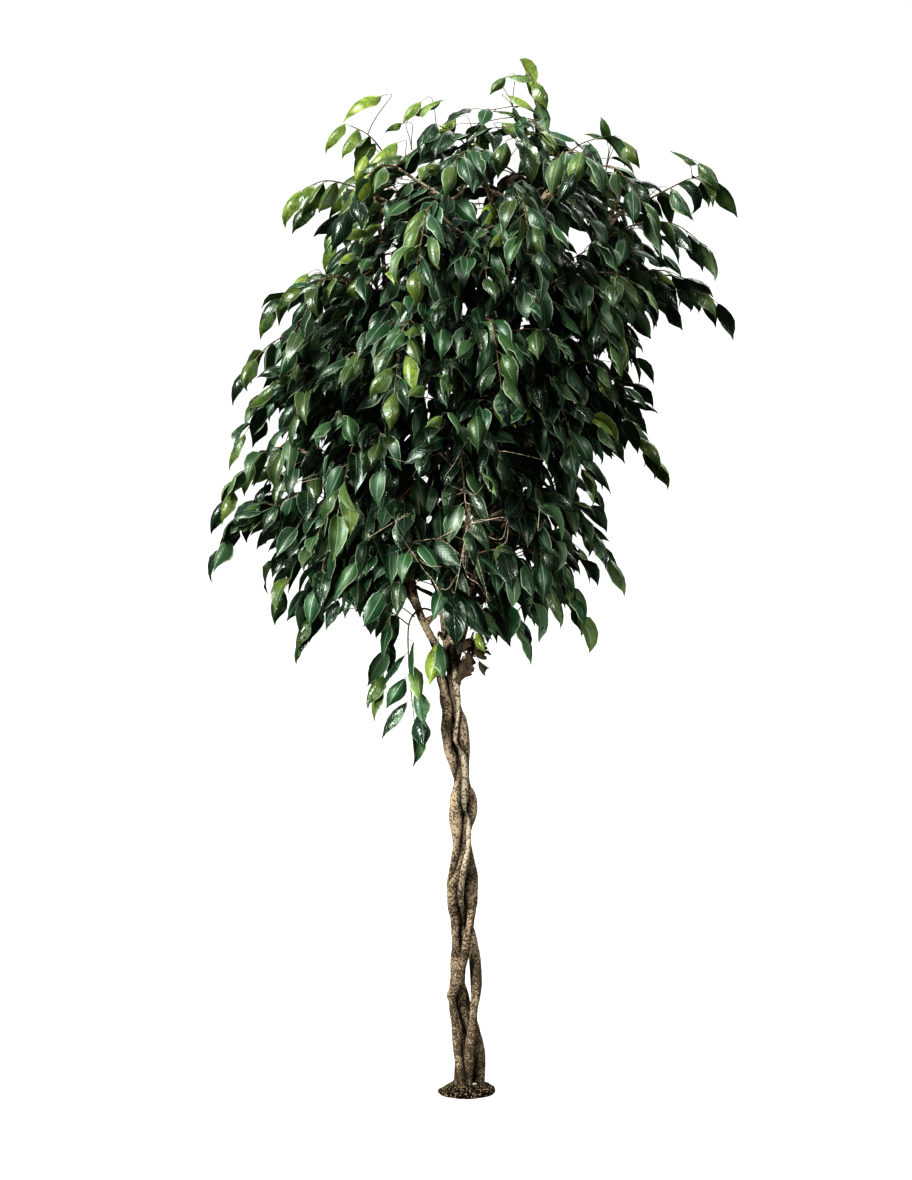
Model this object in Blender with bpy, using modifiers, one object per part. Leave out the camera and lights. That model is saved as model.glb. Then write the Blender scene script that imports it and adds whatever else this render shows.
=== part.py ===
"""Weeping fig: four plaited stems standing in a small pad of soil, under a drooping leafy crown.

Metres, +Z up, the front of the plant facing -Y. The origin is the centre of the soil's flat underside.
Places of the stems and of the crown's edge are chosen by hand in millimetres, as real sizes.
"""

import math
import random
from itertools import combinations

import bmesh
import bpy
import numpy as np
from mathutils import Euler, Vector
from mathutils.bvhtree import BVHTree

MM = 0.001
NAME = "weeping_fig"
SEED = 14
UP = Vector((0, 0, 1))

SEAT_GAP = 0.3 * MM
WELD = 0.01 * MM
SMOOTH_ANGLE = math.radians(40)

# The soil pad, a low mound on a flat underside, with a rim that waves in and out.
SOIL_PROFILE_MM = [(49, 0), (49, 4), (46, 8.5), (39, 13), (28, 17.5), (14, 21), (0, 22)]
SOIL_STEPS = 20
SOIL_WAVES = [(3, 0.021, 0.7), (7, 0.014, 0.0)]
STEM_FOOT_Z = 7 * MM
HOLE_TOP_Z = 60 * MM
HOLE_CLEARANCE = 0.36 * MM

# Each stem: a plaited length up to the crown, then its own leader. Places are x, y, z in mm.
PLAIT_TOP = 771 * MM
PLAIT_STEP = 24 * MM
LEADER_STEP = 88 * MM
CURVE_STEP = 6 * MM
PLAIT_GAP = 0.5 * MM
FOOT_GAP = 3.5 * MM
FOOT_TOP = 60 * MM
SPREAD_ROUNDS = 260
SPREAD_SHARE = 0.6
SPREAD_PARTS = 5

STEMS = {
    "stem_1": {
        "radius": 9.6 * MM,
        "tip_radius": 3.2 * MM,
        "sides": 7,
        "bark": "bark",
        "plait": [
            (3, -18, 7), (2, -16, 45), (1, -15, 82), (9, -13, 117), (12, -10, 152), (16, -2, 195),
            (17, 3, 221), (13, 9, 256), (3, 12, 291), (-14, 8, 344), (-20, 1, 378), (-19, -6, 431),
            (-17, -8, 483), (-14, -4, 535), (-6, -2, 570), (-5, 0, 605), (-7, 3, 640), (-20, 0, 692),
            (-24, -3, 727), (-31, -2, 771),
        ],
        "leader": [
            (-40, 4, 867), (-28, 8, 971), (-4, 6, 1111), (24, 2, 1250), (46, -4, 1390), (62, -6, 1500),
            (72, 0, 1590),
        ],
    },
    "stem_2": {
        "radius": 9.6 * MM,
        "tip_radius": 3.0 * MM,
        "sides": 7,
        "bark": "bark",
        "plait": [
            (-16, 1, 7), (-13, 0, 38), (-19, -3, 82), (-19, -4, 117), (-21, -9, 152), (-19, -14, 187),
            (-15, -17, 221), (-7, -17, 256), (1, -15, 291), (6, -9, 326), (9, 0, 361), (9, 8, 395),
            (-2, 11, 431), (-10, 12, 483), (-19, 10, 535), (-22, 2, 570), (-30, -3, 605), (-33, -5, 640),
            (-37, -6, 692), (-39, -6, 727), (-45, -4, 771),
        ],
        "leader": [
            (-58, -6, 808), (-84, -12, 848), (-104, -10, 950), (-120, 5, 1080), (-130, 15, 1220),
            (-138, 20, 1360), (-150, 12, 1500), (-162, 0, 1590),
        ],
    },
    "stem_3": {
        "radius": 9.2 * MM,
        "tip_radius": 4.2 * MM,
        "sides": 7,
        "bark": "bark",
        "plait": [
            (21, 4, 7), (22, 3, 38), (19, 6, 82), (12, 10, 117), (2, 12, 152), (-10, 11, 187),
            (-16, 8, 221), (-17, 6, 256), (-17, 1, 291), (-17, -6, 326), (-15, -11, 361),
            (-8, -11, 395), (-1, -10, 431), (8, -4, 483), (8, 5, 535), (-6, 14, 570), (-16, 14, 605),
            (-24, 11, 640), (-29, 11, 692), (-26, 12, 727), (-20, 12, 771),
        ],
        "leader": [
            (0, 22, 850), (44, 42, 975), (98, 55, 1110), (148, 52, 1250), (194, 38, 1390),
            (236, 22, 1500), (264, 8, 1570),
        ],
    },
    "stem_4": {
        "radius": 5.8 * MM,
        "tip_radius": 2.6 * MM,
        "sides": 5,
        "bark": "pale_bark",
        "plait": [
            (3, 18, 7), (2, 18, 40), (2, 19, 82), (-4, 21, 152), (0, 16, 221), (0, 7, 256),
            (-3, -2, 291), (-7, -12, 317), (-11, -20, 344), (-9, -24, 370), (-4, -25, 405),
            (2, -23, 440), (2, -19, 483), (-1, -18, 535), (-1, -18, 570), (-9, -16, 605),
            (-17, -14, 640), (-14, -15, 666), (-16, -16, 692), (-19, -15, 727), (-25, -15, 771),
        ],
        "leader": [
            (-24, -46, 860), (-4, -92, 985), (26, -124, 1120), (52, -132, 1260), (66, -126, 1390),
            (74, -112, 1500),
        ],
    },
}

# The crown, in mm: at each height, the x of its middle line, and its half width seen from the front.
CROWN_MIDDLE = [(600, -70), (850, -60), (1000, -70), (1200, -25), (1400, 20), (1600, 70), (1800, 85)]
CROWN_HALF = [(600, 80), (750, 190), (850, 262), (1000, 320), (1200, 345), (1400, 345), (1550, 290),
              (1650, 220), (1800, 40)]
CROWN_DEPTH = 0.88

# The tips of the outermost leaves, x, y, z in mm: the crown's ragged edge as the front shows it.
EDGE_TIPS = [
    (-288, -60, 1530), (-343, 50, 1335), (-385, -50, 1215), (-398, 60, 1110), (-425, -60, 992),
    (-437, 50, 908), (-322, -60, 838), (-292, 60, 765), (-160, 10, 668), (-72, -65, 602),
    (95, -40, 772), (206, 30, 785), (250, -70, 893), (335, 20, 1067), (440, 0, 1332),
    (402, -70, 1432), (438, 40, 1572), (84, 0, 1795), (-214, 10, 1690), (238, -20, 1665),
    (-58, -60, 1680), (-20, -150, 815), (40, 140, 800),
]
YOUNG_SPRAYS = (0, 17, 18)

# Sprays round the front and the back, in rows by height in mm, at alternate bearings in degrees.
FACE_ROWS = [1585, 1480, 1375, 1270, 1165, 1060, 955, 850]
FACE_BEARINGS = (22, 53)
FACE_SHIFT = 22 * MM
FACE_SWING = 9

# A spray's twig by its tip's height, in mm: how far in and how far above its end its root is.
EDGE_SPAN = [(600, 45), (700, 70), (850, 120), (1200, 140), (1500, 140), (1640, 90), (1800, 35)]
EDGE_RISE = [(600, 190), (700, 150), (850, 95), (1200, 55), (1500, 0), (1640, -70), (1800, -120)]
FACE_SPAN = [(700, 60), (850, 85), (1500, 100), (1620, 90)]
FACE_RISE = [(700, 140), (850, 120), (1400, 100), (1500, 60), (1620, -20)]
TIP_BACK = 12 * MM
TIP_UP = [(600, 56), (1500, 56), (1640, 0)]
TWIG_FALL = [(600, 2.2), (1200, 1.7), (1500, 1.2), (1640, 0.0), (1800, -0.8)]
TWIG_RADII = (2.3 * MM, 1.5 * MM)
TWIG_STUB = 10 * MM
TWIG_PARTS = 3
TWIG_PULLS = (0.35, 0.30)
TWIG_TURNS = (0, 14, -14, 28, -28, 45, -45)
UPRIGHT_BELOW = 50 * MM

# The limb that carries it, from a leader's middle line.
LIMB_RADII = (4.6 * MM, 2.6 * MM)
LIMB_PARTS = 3
LIMB_RISE = math.radians(24)
LIMB_START_RISE = 1.1
LIMB_PULLS = (0.38, 0.32)
LIMB_SPACING = 24 * MM
FOOT_STEP = 12 * MM
BEST_CLIMB = 0.75
CLIMB_WEIGHT = 1.2
CLEARANCE = 1.5 * MM
SAMPLE_STEP = 4 * MM

# A leaf: a stalk, then the blade's half width and depth at shares of its length, as on a real one.
LEAVES_PER_SPRAY = 8
LEAF_PITCH = 20.5 * MM
LEAF_LENGTH = (68 * MM, 82 * MM)
LEAF_WIDTH = 0.52
LEAF_FACING = 42
FACING_SWING = 15
STALK_LENGTH = 12 * MM
STALK_HALF = 1.1 * MM
STALK_DEPTH = 1.9 * MM
ROOT_DEPTH = 1.0 * MM
END_ROOT_BACK = 2 * MM
BLADE_SECTIONS = [(0.27, 0.49, 1.8 * MM), (0.68, 0.36, 1.6 * MM)]
BLADE_ARCH = 0.13
STALK_FACES = 3
LEAF_TRIES = 9
LOOSER = 0.12
TOUCH = 0.25 * MM

# How far a stalk and a blade lean to the side, out from the crown, on along the twig and down.
SIDE_STALK = {"side": 0.8, "on": 0.45, "down": 0.1, "sway": 0.12}
SIDE_BLADE = {"side": 0.42, "out": 0.28, "on": 0.15, "down": 0.85, "sway": 0.14}
END_STALK = {"on": 1.0, "down": 0.1, "sway": 0.1}
END_BLADE = {"out": 0.25, "on": 0.2, "down": 0.9, "sway": 0.08}

COLOURS = {
    "soil": ((0.030, 0.021, 0.015), 0.95),
    "bark": ((0.42, 0.31, 0.20), 0.78),
    "pale_bark": ((0.55, 0.43, 0.29), 0.74),
    "leaf": ((0.045, 0.110, 0.035), 0.42),
    "young_leaf": ((0.32, 0.42, 0.07), 0.45),
}


def clear_scene():
    for thing in list(bpy.data.objects):
        bpy.data.objects.remove(thing)


def collection(name):
    made = bpy.data.collections.new(name)
    bpy.context.scene.collection.children.link(made)
    return made


def material(name):
    made = bpy.data.materials.get(name)
    if made is None:
        colour, roughness = COLOURS[name]
        made = bpy.data.materials.new(name)
        made.use_nodes = True
        shader = made.node_tree.nodes["Principled BSDF"]
        shader.inputs["Base Color"].default_value = (*colour, 1)
        shader.inputs["Roughness"].default_value = roughness
        shader.inputs["Metallic"].default_value = 0
    return made


def read_table(table, height):
    """The value at a height in metres, from a table of heights in mm."""
    heights = [row[0] * MM for row in table]
    return float(np.interp(height, heights, [row[1] for row in table]))


def smooth_curve(knots, step):
    """Points about a step apart on a Catmull-Rom curve through the knots."""
    ends = [knots[0] * 2 - knots[1], *knots, knots[-1] * 2 - knots[-2]]
    points = []
    for before, start, end, after in zip(ends, ends[1:], ends[2:], ends[3:]):
        square = 2 * before - 5 * start + 4 * end - after
        cube = 3 * start - before - 3 * end + after
        count = max(1, round((end - start).length / step))
        for index in range(count):
            t = index / count
            points.append(0.5 * (2 * start + (end - before) * t + square * t**2 + cube * t**3))
    return points + [knots[-1]]


def bezier(start, start_pull, end_pull, end, count):
    """Points on a cubic curve, by its two ends and its two handles."""
    points = []
    for index in range(count + 1):
        t = index / count
        s = 1 - t
        points.append(start * s**3 + start_pull * 3 * s**2 * t + end_pull * 3 * s * t**2 + end * t**3)
    return points


def sample(points, radii, step):
    """Places no more than a step apart along straight runs, and the radius at each."""
    places = []
    widths = []
    for index in range(len(points) - 1):
        start, end = points[index], points[index + 1]
        count = max(1, math.ceil((end - start).length / step))
        for part in range(count):
            places.append(start.lerp(end, part / count))
            widths.append(radii[index] + (radii[index + 1] - radii[index]) * part / count)
    return np.array(places + [points[-1]]), np.array(widths + [radii[-1]])


def tapered(points, ends):
    """A radius for each point, from the first end's to the last end's."""
    last = len(points) - 1
    return [ends[0] + (ends[1] - ends[0]) * index / last for index in range(last + 1)]


def stem_paths():
    """The stems' middle lines: in step with each other in the plait, then wider apart in the leaders."""
    heights = np.arange(STEM_FOOT_Z, PLAIT_TOP + 0.5 * PLAIT_STEP, PLAIT_STEP)
    paths = {}
    for name, stem in STEMS.items():
        knots = [Vector(knot) * MM for knot in stem["plait"] + stem["leader"]]
        fine = np.array(smooth_curve(knots, CURVE_STEP))
        level = [np.interp(heights, fine[:, 2], fine[:, axis]) for axis in (0, 1)]
        path = list(np.column_stack([*level, heights]))
        for point in fine:
            rise = point[2] > heights[-1]
            if rise and np.linalg.norm(point - path[-1]) >= LEADER_STEP:
                path.append(point)
        path[-1] = fine[-1]
        paths[name] = np.array(path)
    spread_apart(paths)
    return {name: [Vector(point) for point in path] for name, path in paths.items()}


def stem_radii(name, path):
    """The radius at each point: even in the plait, then tapering to the leader's tip."""
    stem = STEMS[name]
    top = path[-1][2]
    shares = [max(0.0, (point[2] - PLAIT_TOP) / (top - PLAIT_TOP)) for point in path]
    return [stem["radius"] + (stem["tip_radius"] - stem["radius"]) * share for share in shares]


def spread_apart(paths):
    """Pushes the stems' middle lines apart sideways where their bark would meet."""
    for _ in range(SPREAD_ROUNDS):
        pushes = {name: np.zeros_like(path) for name, path in paths.items()}
        for one, other in combinations(paths, 2):
            first, first_radii = even_parts(one, paths[one])
            second, second_radii = even_parts(other, paths[other])
            away = first[:, None, :] - second[None, :, :]
            low = np.minimum(first[:, None, 2], second[None, :, 2]) < FOOT_TOP
            reach = first_radii[:, None] + second_radii[None, :] + np.where(low, FOOT_GAP, PLAIT_GAP)
            lack = reach - np.linalg.norm(away, axis=2)
            for index, partner in zip(*np.where(lack > 0)):
                level = away[index, partner] * (1, 1, 0)
                shift = level / np.linalg.norm(level) * lack[index, partner] / 2
                keep_largest(pushes[one], index, shift)
                keep_largest(pushes[other], partner, -shift)
        for name, path in paths.items():
            path += pushes[name] * SPREAD_SHARE


def even_parts(name, path):
    """The path cut in even parts between its points, with the radius at each cut."""
    marks = np.arange((len(path) - 1) * SPREAD_PARTS + 1) / SPREAD_PARTS
    ends = np.arange(len(path))
    places = np.column_stack([np.interp(marks, ends, path[:, axis]) for axis in range(3)])
    return places, np.interp(marks, ends, stem_radii(name, path))


def keep_largest(pushes, index, shift):
    """Keeps, at the nearest path point, the largest push asked of it."""
    place = round(index / SPREAD_PARTS)
    if np.linalg.norm(shift) > np.linalg.norm(pushes[place]):
        pushes[place] = shift


def section_shape(sides):
    """A regular outline of unit radius, which a curve takes as its section."""
    name = f"section_{sides}"
    if name in bpy.data.objects:
        return bpy.data.objects[name]
    outline = bpy.data.curves.new(name, "CURVE")
    outline.dimensions = "2D"
    spline = outline.splines.new("POLY")
    spline.points.add(sides - 1)
    for index, point in enumerate(spline.points):
        angle = math.tau * index / sides
        point.co = (math.cos(angle), math.sin(angle), 0, 1)
    spline.use_cyclic_u = True
    shape = bpy.data.objects.new(name, outline)
    shape.hide_render = True
    shape.display_type = "WIRE"
    bpy.data.collections["guides"].objects.link(shape)
    return shape


def evaluated_mesh(thing):
    graph = bpy.context.evaluated_depsgraph_get()
    return bpy.data.meshes.new_from_object(thing.evaluated_get(graph))


def bar(name, points, radii, sides, group):
    """A tapering round bar along the points, as a closed mesh object in the group."""
    curve = bpy.data.curves.new(name, "CURVE")
    curve.dimensions = "3D"
    curve.bevel_mode = "OBJECT"
    curve.bevel_object = section_shape(sides)
    curve.use_fill_caps = True
    spline = curve.splines.new("POLY")
    spline.points.add(len(points) - 1)
    for knot, place, radius in zip(spline.points, points, radii):
        knot.co = (*place, 1)
        knot.radius = radius
    line = bpy.data.objects.new(name + "_line", curve)
    group.objects.link(line)
    mesh = evaluated_mesh(line)
    bpy.data.objects.remove(line)
    return solid(name, mesh, group)


def solid(name, mesh, group):
    """An object of the mesh, with its doubles welded and its faces turned outwards."""
    work = bmesh.new()
    work.from_mesh(mesh)
    bmesh.ops.remove_doubles(work, verts=work.verts, dist=WELD)
    bmesh.ops.triangulate(work, faces=work.faces)
    bmesh.ops.recalc_face_normals(work, faces=work.faces)
    work.to_mesh(mesh)
    work.free()
    made = bpy.data.objects.new(name, mesh)
    group.objects.link(made)
    return made


def is_closed(mesh):
    work = bmesh.new()
    work.from_mesh(mesh)
    whole = all(edge.is_manifold for edge in work.edges)
    work.free()
    return whole


def fuse(base, pieces):
    """Unites the pieces with the base in one body, and removes them."""
    group = collection(base.name + "_pieces")
    for piece in pieces:
        for holder in list(piece.users_collection):
            holder.objects.unlink(piece)
        group.objects.link(piece)
    union = base.modifiers.new("union", "BOOLEAN")
    union.operation = "UNION"
    union.operand_type = "COLLECTION"
    union.collection = group
    mesh = evaluated_mesh(base)
    if not is_closed(mesh):
        union.solver = "MANIFOLD"
        mesh = evaluated_mesh(base)
    base.modifiers.clear()
    base.data = mesh
    for piece in pieces:
        bpy.data.objects.remove(piece)
    bpy.data.collections.remove(group)


class Wood:
    """All bars placed so far, as round spots along their middle lines."""

    def __init__(self):
        self.spots = np.empty((0, 3))
        self.radii = np.empty(0)
        self.owners = np.empty(0, str)

    def add(self, points, radii, owner):
        spots, widths = sample(points, radii, SAMPLE_STEP)
        self.spots = np.vstack([self.spots, spots])
        self.radii = np.append(self.radii, widths)
        self.owners = np.append(self.owners, [owner] * len(spots))

    def is_clear(self, points, radii, met=""):
        """Whether a bar along the points stays clear of all others but the one that it meets."""
        spots, widths = sample(points, radii, SAMPLE_STEP)
        others = self.owners != met
        apart = np.linalg.norm(spots[:, None, :] - self.spots[others][None, :, :], axis=2)
        return bool((apart > widths[:, None] + self.radii[others][None, :] + CLEARANCE).all())


def outward_at(place):
    """The level direction from the crown's middle line out to a place."""
    return Vector((place.x - read_table(CROWN_MIDDLE, place.z) * MM, place.y, 0)).normalized()


def spray_tips():
    """Where each spray's lowest leaf ends, and whether it is on the edge that the front shows."""
    tips = [(Vector(tip) * MM, True) for tip in EDGE_TIPS]
    rng = random.Random(SEED)
    for row, height in enumerate(FACE_ROWS):
        for face in (-1, 1):
            for side in (-1, 1):
                z = height * MM + rng.uniform(-1, 1) * FACE_SHIFT
                half = read_table(CROWN_HALF, z) * MM
                turn = math.radians(FACE_BEARINGS[row % 2] * side + rng.uniform(-1, 1) * FACE_SWING)
                x = read_table(CROWN_MIDDLE, z) * MM + half * math.sin(turn)
                tips.append((Vector((x, face * half * CROWN_DEPTH * math.cos(turn), z)), False))
    return tips


def twig_path(tip, edge, turn):
    """A spray's twig, from its root out and over to its lowest leaf, and its direction at the root."""
    out = outward_at(tip)
    out.rotate(Euler((0, 0, turn)))
    end = tip - out * TIP_BACK + UP * read_table(TIP_UP, tip.z) * MM
    span = read_table(EDGE_SPAN if edge else FACE_SPAN, tip.z) * MM
    rise = read_table(EDGE_RISE if edge else FACE_RISE, tip.z) * MM
    root = end - out * span + UP * rise
    heading = out * math.cos(LIMB_RISE) + UP * math.sin(LIMB_RISE)
    if rise < -UPRIGHT_BELOW:
        heading = (out * 0.35 + UP).normalized()
    stub = root + heading * TWIG_STUB
    reach = (end - root).length
    fall = (out - UP * read_table(TWIG_FALL, tip.z)).normalized()
    first, last = TWIG_PULLS
    curve = bezier(stub, stub + heading * reach * first, end - fall * reach * last, end, TWIG_PARTS)
    return [root, *curve], heading


def limb_path(foot, root, heading):
    """A limb from its foot in a leader out to a twig's root, ending in line with the twig."""
    level = Vector((root.x - foot.x, root.y - foot.y, 0)).normalized()
    start = (level + UP * LIMB_START_RISE).normalized()
    reach = (root - foot).length
    end = root - heading * SEAT_GAP
    stub = end - heading * TWIG_STUB
    first, last = LIMB_PULLS
    return [*bezier(foot, foot + start * reach * first, stub - heading * reach * last, stub, LIMB_PARTS), end]


def limb_feet(root, paths, taken):
    """Places on the leaders that a limb could grow from, as names and places, the best first."""
    found = []
    for name, path in paths.items():
        leader = [point for point in path if point.z > PLAIT_TOP - PLAIT_STEP]
        for place in sample(leader, [0] * len(leader), FOOT_STEP)[0]:
            foot = Vector(place)
            climb = (root.z - foot.z) / max((root - foot).xy.length, FOOT_STEP)
            crowded = any((foot - other).length < LIMB_SPACING for other in taken[name])
            if not crowded and root.z > foot.z + FOOT_STEP:
                cost = (root - foot).length * (1 + CLIMB_WEIGHT * abs(climb - BEST_CLIMB))
                found.append((cost, name, foot))
    found.sort(key=lambda row: row[0])
    return [(name, foot) for _, name, foot in found]


def limb_and_twig(tip, edge, turn, paths, wood, taken):
    """The stem, twig and limb that reach a tip by the best free way, or nothing."""
    twig, heading = twig_path(tip, edge, turn)
    if wood.is_clear(twig, tapered(twig, TWIG_RADII)):
        for name, foot in limb_feet(twig[0], paths, taken):
            limb = limb_path(foot, twig[0], heading)
            if wood.is_clear(limb, tapered(limb, LIMB_RADII), name):
                return {"stem": name, "twig": twig, "limb": limb}
    return None


def grow_limbs(paths):
    """Each spray's twig and limb, clear of all the rest, in the tips' order."""
    wood = Wood()
    for name, path in paths.items():
        wood.add(path, stem_radii(name, path), name)
    sprays = []
    taken = {name: [] for name in paths}
    for number, (tip, edge) in enumerate(spray_tips()):
        for turn in TWIG_TURNS:
            spray = limb_and_twig(tip, edge, math.radians(turn), paths, wood, taken)
            if spray:
                break
        else:
            raise RuntimeError(f"no free way for spray {number}")
        taken[spray["stem"]].append(spray["limb"][0])
        wood.add(spray["limb"], tapered(spray["limb"], LIMB_RADII), f"limb_{number}")
        wood.add(spray["twig"], tapered(spray["twig"], TWIG_RADII), f"twig_{number}")
        sprays.append(spray | {"number": number, "name": f"spray_{number + 1:02d}"})
    return sprays


def run_length(points):
    return sum((end - start).length for start, end in zip(points, points[1:]))


def along(points, distance):
    """The place and the direction at a distance back from the end of a run of points."""
    for end, start in zip(points[::-1], points[-2::-1]):
        length = (end - start).length
        if distance <= length:
            return end.lerp(start, distance / length), (end - start).normalized()
        distance -= length
    return points[0].copy(), (points[1] - points[0]).normalized()


def lean(shares, ways, looser):
    """The direction made of shares of the named ways, with more sway the looser it is."""
    mixed = sum((ways[name] * share for name, share in shares.items()), Vector())
    return (mixed + ways["sway"] * looser).normalized()


def leaf_seat(twig, index, rng, looser):
    """Where a leaf sits: its root, the ways its stalk and its blade lean, its face and its length."""
    place, on = along(twig, index * LEAF_PITCH if index else END_ROOT_BACK)
    out = outward_at(place)
    across = UP.cross(out)
    ways = {"out": out, "on": on, "down": -UP, "side": across * (1 if index % 2 else -1)}
    ways["sway"] = Vector([rng.uniform(-1, 1) for _ in range(3)])
    stalk = lean(SIDE_STALK if index else END_STALK, ways, looser if index else 0)
    ways["sway"] = Vector([rng.uniform(-1, 1) for _ in range(3)])
    blade = lean(SIDE_BLADE if index else END_BLADE, ways, looser)
    turn = LEAF_FACING * (1 if index % 4 < 2 else -1) + rng.uniform(-1, 1) * FACING_SWING
    face = out * math.cos(math.radians(turn)) + across * math.sin(math.radians(turn)) + UP * 0.3
    return place, stalk, blade, face, rng.uniform(*LEAF_LENGTH)


def leaf_mesh(name, seat):
    """A leaf on its stalk: three-cornered sections from a point at its root to the drip tip."""
    root, stalk, blade, face, length = seat
    face = (face - blade * face.dot(blade)).normalized()
    side = blade.cross(face)
    neck = root + stalk * STALK_LENGTH
    bend = (stalk + blade).normalized()
    neck_face = (face - bend * face.dot(bend)).normalized()
    neck_side = bend.cross(neck_face) * STALK_HALF
    rings = [[neck + neck_side, neck - neck_side, neck - neck_face * STALK_DEPTH]]
    for share, half, depth in BLADE_SECTIONS:
        middle = neck + blade * length * share - face * length * BLADE_ARCH * share**2
        reach = side * length * LEAF_WIDTH * half
        rings.append([middle + reach, middle - reach, middle - face * depth])
    tip = neck + blade * length - face * length * BLADE_ARCH
    points = [root - stalk * ROOT_DEPTH] + [corner for ring in rings for corner in ring] + [tip]
    return loft(name, points)


def loft(name, points):
    """A closed mesh from a first point through rings of three to a last point."""
    last = len(points) - 1
    faces = []
    for corner in range(3):
        after = (corner + 1) % 3
        faces.append((0, 1 + after, 1 + corner))
    for near in range(1, last - 3, 3):
        for corner in range(3):
            after = (corner + 1) % 3
            faces.append((near + corner, near + after, near + 3 + after))
            faces.append((near + corner, near + 3 + after, near + 3 + corner))
    for corner in range(3):
        faces.append((last - 3 + corner, last - 3 + (corner + 1) % 3, last))
    mesh = bpy.data.meshes.new(name)
    mesh.from_pydata(points, [], faces)
    return mesh


def search_tree(mesh, first=0):
    """A tree of the mesh's faces, from the first one asked for, to find crossings with."""
    points = [vertex.co.copy() for vertex in mesh.vertices]
    faces = [tuple(face.vertices) for face in mesh.polygons[first:]]
    return BVHTree.FromPolygons(points, faces, epsilon=TOUCH)


def box_of(mesh):
    places = np.array([vertex.co for vertex in mesh.vertices])
    return places.min(axis=0) - TOUCH, places.max(axis=0) + TOUCH


class Placed:
    """Every mesh placed so far, to test a new leaf against."""

    def __init__(self):
        self.rows = []

    def add(self, mesh, owner):
        self.rows.append((*box_of(mesh), search_tree(mesh), owner))

    def is_free(self, leaf, owner):
        """Whether a leaf meets nothing but, with its stalk's root alone, its own twig."""
        low, high = box_of(leaf)
        whole = search_tree(leaf)
        blade = search_tree(leaf, STALK_FACES)
        for other_low, other_high, other, other_owner in self.rows:
            tree = blade if other_owner == owner else whole
            if (low < other_high).all() and (other_low < high).all() and tree.overlap(other):
                return False
        return True


def grow_leaves(sprays, placed):
    """Leaves for every spray, the lowest on all of them first, each clear of all that is there."""
    for index in range(LEAVES_PER_SPRAY):
        for spray in sprays:
            if index * LEAF_PITCH > run_length(spray["twig"]) - TWIG_STUB:
                continue
            for attempt in range(LEAF_TRIES):
                rng = random.Random(f"{SEED} {spray['number']} {index} {attempt}")
                seat = leaf_seat(spray["twig"], index, rng, LOOSER * attempt)
                mesh = leaf_mesh(f"{spray['name']}_leaf_{index}", seat)
                if placed.is_free(mesh, spray["name"]):
                    placed.add(mesh, "leaf")
                    spray["leaves"].append(mesh)
                    break
                bpy.data.meshes.remove(mesh)


def finish(thing, finish_name):
    thing.data.materials.clear()
    thing.data.materials.append(material(finish_name))


def make_stems(paths, sprays, group):
    """Each stem with its leader and the limbs that grow from it, as one body."""
    for name, path in paths.items():
        stem = bar(name, path, stem_radii(name, path), STEMS[name]["sides"], group)
        own = [spray for spray in sprays if spray["stem"] == name]
        limbs = [bar(spray["name"] + "_limb", spray["limb"], tapered(spray["limb"], LIMB_RADII), 3, group)
                 for spray in own]
        fuse(stem, limbs)
        finish(stem, STEMS[name]["bark"])
        stem.data.shade_smooth()
        stem.data.set_sharp_from_angle(angle=SMOOTH_ANGLE)


def make_sprays(sprays, group):
    """Each spray's twig with its leaves, as one body."""
    placed = Placed()
    for thing in group.objects:
        placed.add(thing.data, thing.name)
    for spray in sprays:
        spray["leaves"] = []
        twig = bar(spray["name"], spray["twig"], tapered(spray["twig"], TWIG_RADII), 3, group)
        placed.add(twig.data, twig.name)
    grow_leaves(sprays, placed)
    for spray in sprays:
        twig = bpy.data.objects[spray["name"]]
        fuse(twig, [solid(mesh.name, mesh, group) for mesh in spray["leaves"]])
        finish(twig, "young_leaf" if spray["number"] in YOUNG_SPRAYS else "leaf")


def make_soil(paths, group, guides):
    """A turned mound with a wavy rim, and a plain hole for each stem's foot."""
    places = [(0, 0, 0), *((x * MM, 0, z * MM) for x, z in SOIL_PROFILE_MM)][::-1]
    profile = bpy.data.meshes.new("soil_profile")
    profile.from_pydata(places, [(k, k + 1) for k in range(len(places) - 1)], [])
    turned = bpy.data.objects.new("soil_profile", profile)
    group.objects.link(turned)
    screw = turned.modifiers.new("turn", "SCREW")
    screw.steps = SOIL_STEPS
    screw.render_steps = SOIL_STEPS
    screw.use_merge_vertices = True
    screw.merge_threshold = WELD
    mesh = evaluated_mesh(turned)
    bpy.data.objects.remove(turned)
    for vertex in mesh.vertices:
        angle = math.atan2(vertex.co.y, vertex.co.x)
        swell = 1 + sum(size * math.sin(count * angle + turn) for count, size, turn in SOIL_WAVES)
        vertex.co.xy *= swell
    mound = solid("soil", mesh, group)
    finish(mound, "soil")
    for name, path in paths.items():
        foot = [point for point in path if point.z < HOLE_TOP_Z]
        foot[0] = foot[0] - (foot[1] - foot[0]).normalized() * SEAT_GAP
        radii = [STEMS[name]["radius"] + HOLE_CLEARANCE] * len(foot)
        cutter = bar(f"{name}_hole", foot, radii, STEMS[name]["sides"], guides)
        cutter.hide_render = True
        cutter.display_type = "WIRE"
        cut = mound.modifiers.new(cutter.name, "BOOLEAN")
        cut.operation = "DIFFERENCE"
        cut.object = cutter


def main():
    clear_scene()
    group = collection(NAME)
    guides = collection("guides")
    paths = stem_paths()
    sprays = grow_limbs(paths)
    make_stems(paths, sprays, group)
    make_sprays(sprays, group)
    make_soil(paths, group, guides)


main()
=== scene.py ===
"""Weeping fig, dressed: plaited speckled stems in a pad of soil, under a full crown of glossy leaves.

Metres, +Z up, the front of the plant facing -Y. Each spray, each stem and the soil stand for their solids in
the frame. The stems, limbs and twigs run where the solids have them, by the same places, seed and rules.
"""

import math
import random
from itertools import combinations

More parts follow.
